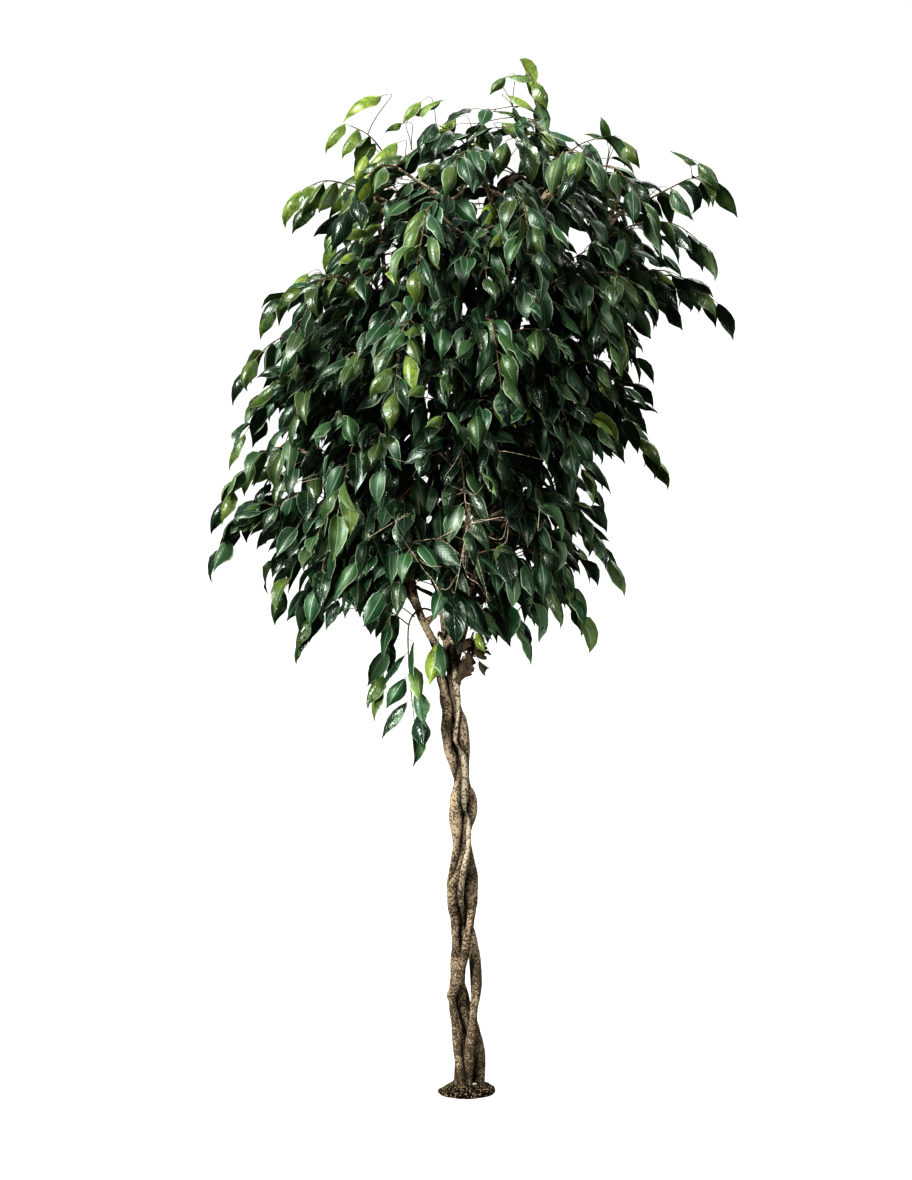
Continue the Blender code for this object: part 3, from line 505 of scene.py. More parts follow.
# Low in the crown's front is a window without side twigs, which the stems show through. Elsewhere the side
# twigs end at least a margin above the crown's floor.
WINDOW_MIDDLE = -10 * MM
WINDOW_HALF = 75 * MM
WINDOW_TOP = 1080 * MM
WINDOW_BACK = 50 * MM
FLOOR_MARGIN = 25 * MM

# Where bare twigs start inside the crown, how far back from a limb's end in metres, and their lengths. Then
# how much they keep to the limb's way and come forward, how far they sag, and their curve's pull, bend and
# parts.
BARE_HEIGHTS = (880 * MM, 1200 * MM)
BARE_SIDE = 200 * MM
BARE_STARTS = (0.1, 0.7)
BARE_LENGTHS = (50 * MM, 140 * MM)
BARE_KEEPS = 0.5
BARE_FORWARD = 0.3
BARE_SAGS = (0, 0.5)
BARE_PULL = 0.4
BARE_BEND = 0.35
BARE_PARTS = 6

# A single edge leaf's twig comes from the nearest wood, with a cost for wood that is higher than this far
# under its end. Then how steep its stalk and its start are, its curve's pulls and parts, how far the tip is
# in front of the root in mm, how much longer the bent blade is than the way to its tip, and how it curls.
EDGE_WOOD_UNDER = 20 * MM
EDGE_WOOD_COST = 2
EDGE_STALK_RISE = 0.4
EDGE_TWIG_RISE = 0.5
EDGE_TWIG_PULLS = (0.4, 0.3)
EDGE_TWIG_PARTS = 7
EDGE_TIP_FORWARD_MM = 8
EDGE_LEAF_LONGER = 1.12
EDGE_LEAF_CURL = 0.7

# Radii of the fine twigs, from root to end.
CROWN_TWIG_RADII = (TWIG_RADII[0], 0.9 * MM)
SIDE_TWIG_RADII = (1.3 * MM, 0.55 * MM)
INNER_TWIG_RADII = (1.3 * MM, 0.6 * MM)
EDGE_TWIG_RADII = (0.9 * MM, 0.5 * MM)
BARE_TWIG_RADII = (0.85 * MM, 0.45 * MM)
LOW_TWIG_RADII = (4.0 * MM, 1.4 * MM)

# The camera's sensor in mm, and the floor's radius with how far it lies under the soil.
SENSOR_WIDTH = 36
FLOOR_RADIUS = 40
FLOOR_GAP = 0.5 * MM

# Each sun's height and bearing from the front in degrees, its share of the main light, and how many degrees
# wide it is, which softens its shadows.
SUNS = {"key": (38, -50, 1, 20), "side": (30, 50, 0.2, 12), "back": (40, 160, 0.28, 40)}

# The lamp that lights the stems under the crown: its place and what it shines at, in metres, its beam in
# degrees, and its radius.
LAMP_PLACE = (-1.3, -2.4, 0.7)
LAMP_AIM = (FRONT_MIDDLE, 0, 0.73)
LAMP_BEAM = 13
LAMP_RADIUS = 0.2


def linear(code):
    """An sRGB hex colour as linear red, green, blue and alpha."""
    parts = [int(code[k:k + 2], 16) / 255 for k in (1, 3, 5)]
    return [part / 12.92 if part <= 0.04045 else ((part + 0.055) / 1.055) ** 2.4 for part in parts] + [1]


def colour_property(name, description, code):
    """A colour in the sidebar, by its sRGB hex code."""
    return FloatVectorProperty(
        name=name, description=description, subtype="COLOR", size=4, min=0, max=1, default=linear(code))


class FigStems(PropertyGroup):
    """How finely the stems are modelled, their relief, and the colours of bark"""

    ring_gap: FloatProperty(
        name="Ring gap", description="Between a stem's rings", default=3.2 * MM, unit="LENGTH")
    sides: IntProperty(name="Sides", description="Of a stem's section", default=20)
    lump_height: FloatProperty(
        name="Lump height", description="Of the bark's swellings", default=1.7 * MM, unit="LENGTH")
    lump_length: FloatProperty(
        name="Lump length", description="Of the bark's swellings", default=24 * MM, unit="LENGTH")
    grain_height: FloatProperty(
        name="Grain height", description="Of the bark's fine relief", default=0.45 * MM, unit="LENGTH")
    light: colour_property("Light bark", "Between the speckles", "#C9B494")
    dark: colour_property("Dark bark", "The speckles", "#382916")
    pale: colour_property("Pale bark", "The young stem between its speckles", "#DAC9AC")
    twig: colour_property("Twig", "The bark of fine twigs", "#9C8564")
    # The crease colour is painted shade, laid where stems meet and in the bark's hollows and creases.
    crease: colour_property("Crease", "Dirt and shade where stems meet", "#0A0603")


class FigCrown(PropertyGroup):
    """How the crown is filled with side twigs"""

    twigs: IntProperty(name="Twigs", description="Side twigs that fill the crown", default=520)
    tries: IntProperty(name="Tries", description="Places compared for each side twig's end", default=14)
    reach: FloatProperty(
        name="Reach", description="A side twig's usual length", default=105 * MM, unit="LENGTH")
    hollow: FloatProperty(name="Hollow", description="Share of the half width left open inside", default=0.40)
    bare: IntProperty(name="Bare twigs", description="Fine leafless twigs inside the crown", default=150)


class FigLeaves(PropertyGroup):
    """A leaf's form and colours"""

    width: FloatProperty(name="Width", description="As a share of the length", default=0.50)
    stalk: FloatProperty(name="Stalk", description="Length of a leaf's stalk", default=12 * MM, unit="LENGTH")
    stalk_radius: FloatProperty(
        name="Stalk radius", description="Of a leaf's stalk", default=0.75 * MM, unit="LENGTH")
    depth: FloatProperty(
        name="Depth", description="Half the blade's thickness", default=0.28 * MM, unit="LENGTH")
    bend: FloatProperty(
        name="Bend", description="From neck to tip", default=math.radians(48), unit="ROTATION")
    wave: FloatProperty(name="Wave", description="Of the margin", default=2.3 * MM, unit="LENGTH")
    top: colour_property("Upper side", "Of a grown leaf", "#082413")
    light_top: colour_property("Light upper side", "Of a grown leaf", "#1D4F29")
    under: colour_property("Underside", "Of a grown leaf", "#3F5A38")
    young: colour_property("Young", "A young leaf", "#A6BE42")
    # Pale lines for the midrib, veins and stalk, and the margin's thin line, which is partly the leaf's own
    # paler edge and partly a painted rim highlight.
    vein_and_rim_highlight: colour_property("Vein", "Midrib and margin", "#C6D6B2")
    dry: colour_property("Dry", "A dead leaf", "#4E3B26")
    dull: colour_property("Dull", "Olive patches of a dead leaf", "#1F2A18")


class FigSoil(PropertyGroup):
    """The soil's grains and colours"""

    grains: IntProperty(name="Grains", description="Loose grains on the mound", default=420)
    smallest: FloatProperty(name="Smallest", description="Grain radius", default=0.6 * MM, unit="LENGTH")
    largest: FloatProperty(name="Largest", description="Grain radius", default=1.7 * MM, unit="LENGTH")
    earth: colour_property("Earth", "Damp potting soil", "#170F09")
    grit: colour_property("Grit", "Pale grains", "#A4946F")
    pebble: colour_property("Pebble", "A pale pebble", "#C9C2B0")


class FigStage(PropertyGroup):
    """The camera, the lights and the floor"""

    distance: FloatProperty(name="Distance", description="Camera to trunk", default=4.2, unit="LENGTH")
    eye: FloatProperty(name="Eye", description="Camera's height", default=1.05, unit="LENGTH")
    aim: FloatProperty(name="Aim", description="Height at the picture's middle", default=0.884, unit="LENGTH")
    lens: FloatProperty(name="Lens", description="Focal length in mm", default=73.5)
    key: FloatProperty(name="Key", description="Strength of the main light", default=4.3)
    under: FloatProperty(
        name="Under", description="Lamp that lights the stems under the crown", default=360.0)
    fill: FloatProperty(name="Fill", description="Strength of the light from all round", default=0.04)
    dome: FloatProperty(name="Dome", description="Strength of the soft light overhead", default=0.24)
    floor: colour_property("Floor", "Pale floor", "#F6F6F5")


def read_table(table, height):
    """The value at a height in metres, from a table of heights in mm."""
    heights = [row[0] * MM for row in table]
    return float(np.interp(height, heights, [row[1] for row in table]))


def smooth_curve(knots, step):
    """Points about a step apart on a Catmull-Rom curve through the knots."""
    ends = [knots[0] * 2 - knots[1], *knots, knots[-1] * 2 - knots[-2]]
    points = []
    for before, start, end, after in zip(ends, ends[1:], ends[2:], ends[3:]):
        square = 2 * before - 5 * start + 4 * end - after
        cube = 3 * start - before - 3 * end + after
        count = max(1, round((end - start).length / step))
        for index in range(count):
            t = index / count
            points.append(0.5 * (2 * start + (end - before) * t + square * t**2 + cube * t**3))
    return points + [knots[-1]]


def bezier(start, start_pull, end_pull, end, count):
    """Points on a cubic curve, by its two ends and its two handles."""
    points = []
    for index in range(count + 1):
        t = index / count
        s = 1 - t
        points.append(start * s**3 + start_pull * 3 * s**2 * t + end_pull * 3 * s * t**2 + end * t**3)
    return points


def sample(points, radii, step):
    """Places no more than a step apart along straight runs, and the radius at each."""
    places = []
    widths = []
    for index in range(len(points) - 1):
        start, end = points[index], points[index + 1]
        count = max(1, math.ceil((end - start).length / step))
        for part in range(count):
            places.append(start.lerp(end, part / count))
            widths.append(radii[index] + (radii[index + 1] - radii[index]) * part / count)
    return np.array(places + [points[-1]]), np.array(widths + [radii[-1]])


def tapered(points, ends):
    """A radius for each point, from the first end's to the last end's."""
    last = len(points) - 1
    return [ends[0] + (ends[1] - ends[0]) * index / last for index in range(last + 1)]


def stem_paths():
    """The stems' middle lines: in step with each other in the plait, then wider apart in the leaders."""
    heights = np.arange(STEM_FOOT_Z, PLAIT_TOP + 0.5 * PLAIT_STEP, PLAIT_STEP)
    paths = {}
    for name, stem in STEMS.items():
        knots = [Vector(knot) * MM for knot in stem["plait"] + stem["leader"]]
        fine = np.array(smooth_curve(knots, CURVE_STEP))
        level = [np.interp(heights, fine[:, 2], fine[:, axis]) for axis in (0, 1)]
        path = list(np.column_stack([*level, heights]))
        for point in fine:
            rise = point[2] > heights[-1]
            if rise and np.linalg.norm(point - path[-1]) >= LEADER_STEP:
                path.append(point)
        path[-1] = fine[-1]
        paths[name] = np.array(path)
    spread_apart(paths)
    return {name: [Vector(point) for point in path] for name, path in paths.items()}


def stem_radii(name, path):
    """The radius at each point: even in the plait, then tapering to the leader's tip."""
    stem = STEMS[name]
    top = path[-1][2]
    shares = [max(0.0, (point[2] - PLAIT_TOP) / (top - PLAIT_TOP)) for point in path]
    return [stem["radius"] + (stem["tip_radius"] - stem["radius"]) * share for share in shares]


def spread_apart(paths):
    """Pushes the stems' middle lines apart sideways where their bark would meet."""
    for _ in range(SPREAD_ROUNDS):
        pushes = {name: np.zeros_like(path) for name, path in paths.items()}
        for one, other in combinations(paths, 2):
            first, first_radii = even_parts(one, paths[one])
            second, second_radii = even_parts(other, paths[other])
            away = first[:, None, :] - second[None, :, :]
            low = np.minimum(first[:, None, 2], second[None, :, 2]) < FOOT_TOP
            reach = first_radii[:, None] + second_radii[None, :] + np.where(low, FOOT_GAP, PLAIT_GAP)
            lack = reach - np.linalg.norm(away, axis=2)
            for index, partner in zip(*np.where(lack > 0)):
                level = away[index, partner] * (1, 1, 0)
                shift = level / np.linalg.norm(level) * lack[index, partner] / 2
                keep_largest(pushes[one], index, shift)
                keep_largest(pushes[other], partner, -shift)
        for name, path in paths.items():
            path += pushes[name] * SPREAD_SHARE


def even_parts(name, path):
    """The path cut in even parts between its points, with the radius at each cut."""
    marks = np.arange((len(path) - 1) * SPREAD_PARTS + 1) / SPREAD_PARTS
    ends = np.arange(len(path))
    places = np.column_stack([np.interp(marks, ends, path[:, axis]) for axis in range(3)])
    return places, np.interp(marks, ends, stem_radii(name, path))


def keep_largest(pushes, index, shift):
    """Keeps, at the nearest path point, the largest push asked of it."""
    place = round(index / SPREAD_PARTS)
    if np.linalg.norm(shift) > np.linalg.norm(pushes[place]):
        pushes[place] = shift


class Wood:
    """All bars placed so far, as round spots along their middle lines."""

    def __init__(self):
        """Starts with no bar."""
        self.spots = np.empty((0, 3))
        self.radii = np.empty(0)
        self.owners = np.empty(0, str)

    def add(self, points, radii, owner):
        """Places a bar along the points, under its owner's name."""
        spots, widths = sample(points, radii, SAMPLE_STEP)
        self.spots = np.vstack([self.spots, spots])
        self.radii = np.append(self.radii, widths)
        self.owners = np.append(self.owners, [owner] * len(spots))

    def is_clear(self, points, radii, met=""):
        """Whether a bar along the points stays clear of all others but the one that it meets."""
        spots, widths = sample(points, radii, SAMPLE_STEP)
        others = self.owners != met
        apart = np.linalg.norm(spots[:, None, :] - self.spots[others][None, :, :], axis=2)
        return bool((apart > widths[:, None] + self.radii[others][None, :] + CLEARANCE).all())


def outward_at(place):
    """The level direction from the crown's middle line out to a place."""
    return Vector((place.x - read_table(CROWN_MIDDLE, place.z) * MM, place.y, 0)).normalized()


def spray_tips():
    """Where each spray's lowest leaf ends, and whether it is on the edge that the front shows."""
    tips = [(Vector(tip) * MM, True) for tip in EDGE_TIPS]
    rng = random.Random(SEED)
    for row, height in enumerate(FACE_ROWS):
        for face in (-1, 1):
            for side in (-1, 1):
                z = height * MM + rng.uniform(-1, 1) * FACE_SHIFT
                half = read_table(CROWN_HALF, z) * MM
                turn = math.radians(FACE_BEARINGS[row % 2] * side + rng.uniform(-1, 1) * FACE_SWING)
                x = read_table(CROWN_MIDDLE, z) * MM + half * math.sin(turn)
                tips.append((Vector((x, face * half * CROWN_DEPTH * math.cos(turn), z)), False))
    return tips


def twig_path(tip, edge, turn):
    """A spray's twig, from its root out and over to its lowest leaf, and its direction at the root."""
    out = outward_at(tip)
    out.rotate(Euler((0, 0, turn)))
    end = tip - out * TIP_BACK + UP * read_table(TIP_UP, tip.z) * MM
    span = read_table(EDGE_SPAN if edge else FACE_SPAN, tip.z) * MM
    rise = read_table(EDGE_RISE if edge else FACE_RISE, tip.z) * MM
    root = end - out * span + UP * rise
    heading = out * math.cos(LIMB_RISE) + UP * math.sin(LIMB_RISE)
    if rise < -UPRIGHT_BELOW:
        heading = (out * UPRIGHT_OUT + UP).normalized()
    stub = root + heading * TWIG_STUB
    reach = (end - root).length
    fall = (out - UP * read_table(TWIG_FALL, tip.z)).normalized()
    first, last = TWIG_PULLS
    curve = bezier(stub, stub + heading * reach * first, end - fall * reach * last, end, TWIG_PARTS)
    return [root, *curve], heading


def limb_path(foot, root, heading):
    """A limb from its foot in a leader out to a twig's root, ending in line with the twig."""
    level = Vector((root.x - foot.x, root.y - foot.y, 0)).normalized()
    start = (level + UP * LIMB_START_RISE).normalized()
    reach = (root - foot).length
    end = root - heading * SEAT_GAP
    stub = end - heading * TWIG_STUB
    first, last = LIMB_PULLS
    return [*bezier(foot, foot + start * reach * first, stub - heading * reach * last, stub, LIMB_PARTS), end]


def limb_feet(root, paths, taken):
    """Places on the leaders that a limb could grow from, as names and places, the best first."""
    found = []
    for name, path in paths.items():
        leader = [point for point in path if point.z > PLAIT_TOP - PLAIT_STEP]
        for place in sample(leader, [0] * len(leader), FOOT_STEP)[0]:
            foot = Vector(place)
            climb = (root.z - foot.z) / max((root - foot).xy.length, FOOT_STEP)
            crowded = any((foot - other).length < LIMB_SPACING for other in taken[name])
            if not crowded and root.z > foot.z + FOOT_STEP:
                cost = (root - foot).length * (1 + CLIMB_WEIGHT * abs(climb - BEST_CLIMB))
                found.append((cost, name, foot))
    found.sort(key=lambda row: row[0])
    return [(name, foot) for _, name, foot in found]


def limb_and_twig(tip, edge, turn, paths, wood, taken):
    """The stem, twig and limb that reach a tip by the best free way, or nothing."""
    twig, heading = twig_path(tip, edge, turn)
    if wood.is_clear(twig, tapered(twig, TWIG_RADII)):
        for name, foot in limb_feet(twig[0], paths, taken):
            limb = limb_path(foot, twig[0], heading)
            if wood.is_clear(limb, tapered(limb, LIMB_RADII), name):
                return {"stem": name, "twig": twig, "limb": limb}
    return None


def grow_limbs(paths):
    """Each spray's twig and limb, clear of all the rest, in the tips' order."""
    wood = Wood()
    for name, path in paths.items():
        wood.add(path, stem_radii(name, path), name)
    sprays = []
    taken = {name: [] for name in paths}
    for number, (tip, edge) in enumerate(spray_tips()):
        for turn in TWIG_TURNS:
            spray = limb_and_twig(tip, edge, math.radians(turn), paths, wood, taken)
            if spray:
                break
        else:
            raise RuntimeError(f"no free way for spray {number}")
        taken[spray["stem"]].append(spray["limb"][0])
        wood.add(spray["limb"], tapered(spray["limb"], LIMB_RADII), f"limb_{number}")
        wood.add(spray["twig"], tapered(spray["twig"], TWIG_RADII), f"twig_{number}")
        sprays.append(spray | {"number": number, "name": f"spray_{number + 1:02d}"})
    return sprays


def run_length(points):
    """The length of the straight runs between the points."""
    return sum((end - start).length for start, end in zip(points, points[1:]))


def along(points, distance):
    """The place and the direction at a distance back from the end of a run of points."""
    for end, start in zip(points[::-1], points[-2::-1]):
        length = (end - start).length
        if distance <= length:
            return end.lerp(start, distance / length), (end - start).normalized()
        distance -= length
    return points[0].copy(), (points[1] - points[0]).normalized()


def lean(shares, ways, looser):
    """The direction made of shares of the named ways, with more sway the looser it is."""
    mixed = sum((ways[name] * share for name, share in shares.items()), Vector())
    return (mixed + ways["sway"] * looser).normalized()


def leaf_seat(twig, index, rng, looser):
    """Where a leaf sits: its root, the ways its stalk and its blade lean, its face and its length."""
    place, on = along(twig, index * LEAF_PITCH if index else END_ROOT_BACK)
    out = outward_at(place)
    across = UP.cross(out)
    ways = {"out": out, "on": on, "down": -UP, "side": across * (1 if index % 2 else -1)}
    ways["sway"] = Vector([rng.uniform(-1, 1) for _ in range(3)])
    stalk = lean(SIDE_STALK if index else END_STALK, ways, looser if index else 0)
    ways["sway"] = Vector([rng.uniform(-1, 1) for _ in range(3)])
    blade = lean(SIDE_BLADE if index else END_BLADE, ways, looser)
    turn = LEAF_FACING * (1 if index % 4 < 2 else -1) + rng.uniform(-1, 1) * FACING_SWING
    turn = math.radians(turn)
    face = out * math.cos(turn) + across * math.sin(turn) + UP * FACING_UP
    return place, stalk, blade, face, rng.uniform(*LEAF_LENGTH)


def set_inputs(tree, node, inputs):
    """Sets a node's inputs, by name or number, to values, or links them from sockets."""
    for name, value in inputs.items():
        if isinstance(value, bpy.types.NodeSocket):
            tree.links.new(value, node.inputs[name])
        else:
            node.inputs[name].default_value = value


def add_node(tree, kind, inputs=(), output=0, **settings):
    """Adds a node with its settings and its inputs, and gives one of its outputs.

    Inputs in brackets go to the first sockets in turn. A Mix node of colours has its factor on socket 0, its
    two colours on 6 and 7, and its result on output 2.
    """
    node = tree.nodes.new(f"ShaderNode{kind}")
    for name, value in settings.items():
        setattr(node, name, value)
    set_inputs(tree, node, inputs if isinstance(inputs, dict) else dict(enumerate(inputs)))
    return node.outputs[output]


def new_material(name):
    """A material with only a shader and its output, and its node tree and shader."""
    made = bpy.data.materials.new(name)
    made.use_nodes = True
    return made, made.node_tree, made.node_tree.nodes["Principled BSDF"]


def blade_colour(tree, leaves, under, shade, where, mottle):
    """A blade's greens: clouded and mottled above, paler beneath, and yellow-green where it is young."""
    cloud = add_node(tree, "TexNoise", {"Vector": where, "Scale": 1 / LEAF_CLOUD, "Detail": 3.0})
    tone = add_node(tree, "Math", (shade, 0.9, -0.45), operation="MULTIPLY_ADD")
    patch = add_node(tree, "Math", (cloud, 0.7, tone), operation="MULTIPLY_ADD")
    patch = add_node(tree, "Math", (patch, 0.65), operation="SUBTRACT")
    patch = add_node(tree, "Math", (mottle, 1.3, patch), operation="MULTIPLY_ADD")
    light = add_node(tree, "MapRange", (patch, 0.1, 0.75), interpolation_type="SMOOTHSTEP")
    upper = add_node(tree, "Mix", {0: light, 6: leaves.top, 7: leaves.light_top}, 2, data_type="RGBA")
    dim = add_node(tree, "Math", (cloud, 0.5), operation="MULTIPLY")
    lower = add_node(tree, "Mix", {0: dim, 6: leaves.under, 7: leaves.light_top}, 2, data_type="RGBA")
    grown = add_node(tree, "Mix", {0: under, 6: upper, 7: lower}, 2, data_type="RGBA")
    green = add_node(tree, "Math", (cloud, mottle), operation="ADD")
    green = add_node(tree, "MapRange", (green, 0.8, 1.2), interpolation_type="SMOOTHSTEP")
    green = add_node(tree, "Math", (green, 0.75), operation="MULTIPLY")
    fresh = add_node(tree, "Mix", {0: green, 6: leaves.young, 7: leaves.light_top}, 2, data_type="RGBA")
    age = add_node(tree, "Attribute", output="Fac", attribute_name="leaf_age")
    return add_node(tree, "Mix", {0: age, 6: grown, 7: fresh}, 2, data_type="RGBA")


def leaf_lines(tree, run, across, shade):
    """The midrib, the side veins, and how pale these, the margin and the stalk make a place; the pale margin
    is partly a painted rim highlight.
    """
    midrib = add_node(tree, "MapRange", (across, 0.02, 0.06), interpolation_type="SMOOTHSTEP")
    midrib = add_node(tree, "Math", (1.0, midrib), operation="SUBTRACT")
    veins = add_node(tree, "Math", (across, -VEIN_SLANT, run), operation="MULTIPLY_ADD")
    veins = add_node(tree, "Math", (veins, VEIN_WAVES), operation="MULTIPLY")
    veins = add_node(tree, "Math", (veins,), operation="SINE")
    veins = add_node(tree, "Math", (veins, 0.0), operation="MAXIMUM")
    veins = add_node(tree, "Math", (veins, 8.0), operation="POWER")
    faint = add_node(tree, "Math", (veins, 0.1), operation="MULTIPLY")
    # The margin's pale line: partly the leaf's own paler edge, partly a painted rim highlight.
    margin = add_node(tree, "MapRange", (across, 0.9, 0.96), interpolation_type="SMOOTHSTEP")
    lined = add_node(tree, "Math", (shade, 0.75, 0.12), operation="MULTIPLY_ADD")
    margin = add_node(tree, "Math", (margin, lined), operation="MULTIPLY")
    stalk = add_node(tree, "Math", (run, 0.0), operation="LESS_THAN")
    stalk = add_node(tree, "Math", (stalk, 0.55), operation="MULTIPLY")
    ribbed = add_node(tree, "Math", (shade, 0.5, 0.1), operation="MULTIPLY_ADD")
    pale = add_node(tree, "Math", (midrib, ribbed), operation="MULTIPLY")
    for line in (faint, margin, stalk):
        pale = add_node(tree, "Math", (pale, line), operation="MAXIMUM")
    return midrib, veins, pale


def leaf_material(name, leaves):
    """Fig leaf: a tough blade under a clear wax, dark and glossy above, paler and duller beneath.

    The wax gives sharp, slightly green lights, and the mottle and shade keep one leaf apart from the next.
    """
    made, tree, shader = new_material(name)
    spot = add_node(tree, "UVMap", uv_map="LeafMap")
    level = add_node(tree, "SeparateXYZ", (spot,))
    along_map = level.node.outputs[1]
    under = add_node(tree, "Math", (along_map, UNDERSIDE - 0.5), operation="GREATER_THAN")
    run = add_node(tree, "Math", (under, -UNDERSIDE, along_map), operation="MULTIPLY_ADD")
    across = add_node(tree, "Math", (level,), operation="ABSOLUTE")
    shade = add_node(tree, "Attribute", output="Fac", attribute_name="leaf_shade")
    where = add_node(tree, "TexCoord", output="Object")
    mottle = add_node(tree, "TexNoise", {"Vector": where, "Scale": 1 / LEAF_MOTTLE, "Detail": 2.0})
    midrib, veins, pale = leaf_lines(tree, run, across, shade)
    blade = blade_colour(tree, leaves, under, shade, where, mottle)
    rough = add_node(tree, "Math", (shade, 0.25, -0.02), operation="MULTIPLY_ADD")
    rough = add_node(tree, "Math", (under, 0.25, rough), operation="MULTIPLY_ADD")
    rough = add_node(tree, "Math", (mottle, 0.45, rough), operation="MULTIPLY_ADD")
    relief = add_node(tree, "TexNoise", {"Vector": where, "Scale": 1 / LEAF_WRINKLE, "Detail": 3.0})
    relief = add_node(tree, "Math", (veins, 0.4, relief), operation="MULTIPLY_ADD")
    relief = add_node(tree, "Math", (midrib, -0.6, relief), operation="MULTIPLY_ADD")
    set_inputs(tree, shader, {
        "Base Color": add_node(tree, "Mix", {0: pale, 6: blade, 7: leaves.vein_and_rim_highlight}, 2, data_type="RGBA"),
        "Roughness": rough,
        "Specular IOR Level": 0.75,
        "Specular Tint": (0.85, 0.97, 0.83, 1),
        "Normal": add_node(tree, "Bump", {"Strength": 0.45, "Distance": 0.6 * MM, "Height": relief}),
    })
    return made


def dry_leaf_material(name, leaves):
    """Dead fig leaf: papery, matt and crumpled, brown going to dull olive in patches."""
    made, tree, shader = new_material(name)
    where = add_node(tree, "TexCoord", output="Object")
    patch = add_node(tree, "TexNoise", {"Vector": where, "Scale": 1 / DRY_PATCH, "Detail": 4.0})
    olive = add_node(tree, "MapRange", (patch, 0.4, 0.62), interpolation_type="SMOOTHSTEP")
    set_inputs(tree, shader, {
        "Base Color": add_node(tree, "Mix", {0: olive, 6: leaves.dry, 7: leaves.dull}, 2, data_type="RGBA"),
        "Roughness": 0.75,
        "Normal": add_node(tree, "Bump", {"Strength": 0.8, "Distance": 1.0 * MM, "Height": patch}),
    })
    return made


def bark_material(name, light, dark, crease, speckled):
    """Fig bark: thin, dry and matt, tan with brown speckles of two or three millimetres.

    Near the soil it has more speckles and broad stains make it look old. Where the stems have grown together,
    and in its hollows and creases, it is painted nearly black as painted shade.
    """
    made, tree, shader = new_material(name)
    where = add_node(tree, "TexCoord", output="Object")
    grain = add_node(tree, "TexNoise", {
        "Vector": where, "Scale": 1 / BARK_GRAIN, "Detail": 3.0, "Roughness": 0.7})
    speck = add_node(tree, "TexNoise", {
        "Vector": where, "Scale": 1 / BARK_SPECKLE, "Detail": 3.0, "Roughness": 0.65})
    cell = add_node(tree, "TexVoronoi", {"Vector": where, "Scale": 1 / SPECKLE_CELL}, "Distance")
    broad = add_node(tree, "TexNoise", {"Vector": where, "Scale": 1 / BARK_STAIN, "Detail": 4.0})
    height = add_node(tree, "SeparateXYZ", (where,), 2)
    low = add_node(tree, "MapRange", (height, 0.45, 0.05), interpolation_type="SMOOTHSTEP")
    level = add_node(tree, "Math", (speck, 0.5, 0.52), operation="MULTIPLY_ADD")
    level = add_node(tree, "Math", (cell, -0.5, level), operation="MULTIPLY_ADD")
    level = add_node(tree, "Math", (broad, 0.45, level), operation="MULTIPLY_ADD")
    level = add_node(tree, "Math", (low, -0.08, level), operation="MULTIPLY_ADD")
    mark = 0.60 + 0.09 * speckled
    dots = add_node(tree, "MapRange", (level, mark + 0.06, mark), interpolation_type="SMOOTHSTEP")
    speckles = add_node(tree, "Math", (dots, 0.85), operation="MULTIPLY")
    tan = add_node(tree, "Mix", {0: speckles, 6: light, 7: dark}, 2, data_type="RGBA")
    stain = add_node(tree, "MapRange", (broad, 0.47, 0.35), interpolation_type="SMOOTHSTEP")
    stain = add_node(tree, "Math", (stain, 0.35), operation="MULTIPLY")
    tan = add_node(tree, "Mix", {0: stain, 6: tan, 7: dark}, 2, data_type="RGBA")
    # Painted shade: where stems meet and in hollows and creases the bark goes nearly black.
    deep = add_node(tree, "Attribute", output="Fac", attribute_name="crevice_shade")
    deep = add_node(tree, "Math", (deep, 0.95), operation="MULTIPLY")
    relief = add_node(tree, "Math", (dots, -0.5, grain), operation="MULTIPLY_ADD")
    set_inputs(tree, shader, {
        "Base Color": add_node(tree, "Mix", {0: deep, 6: tan, 7: crease}, 2, data_type="RGBA"),
        "Roughness": 0.8,
        "Specular IOR Level": 0.15,
        "Normal": add_node(tree, "Bump", {"Strength": 1.0, "Distance": 1.4 * MM, "Height": relief}),
    })
    return made


def soil_material(name, earth, grit):
    """Potting soil: damp, dark and crumbly, with pale grit, so that it looks loose and open."""
    made, tree, shader = new_material(name)
    where = add_node(tree, "TexCoord", output="Object")
    apart = add_node(tree, "TexVoronoi", {"Vector": where, "Scale": 1 / SOIL_CRUMB}, "Distance")
    pick = add_node(tree, "SeparateColor", (apart.node.outputs["Color"],))
    pick = add_node(tree, "MapRange", (pick, 0.45, 0.75), interpolation_type="SMOOTHSTEP")
    middle = add_node(tree, "MapRange", (apart, 0.6, 0.3), interpolation_type="SMOOTHSTEP")
    pale = add_node(tree, "Math", (pick, middle), operation="MULTIPLY")
    height = add_node(tree, "TexNoise", {"Vector": where, "Scale": 1 / SOIL_GRAIN, "Detail": 4.0})
    height = add_node(tree, "Math", (height, apart), operation="SUBTRACT")
    set_inputs(tree, shader, {
        "Base Color": add_node(tree, "Mix", {0: pale, 6: earth, 7: grit}, 2, data_type="RGBA"),
        "Roughness": 0.92,
        "Specular IOR Level": 0.1,
        "Normal": add_node(tree, "Bump", {"Strength": 0.9, "Distance": 1.6 * MM, "Height": height}),
    })
    return made


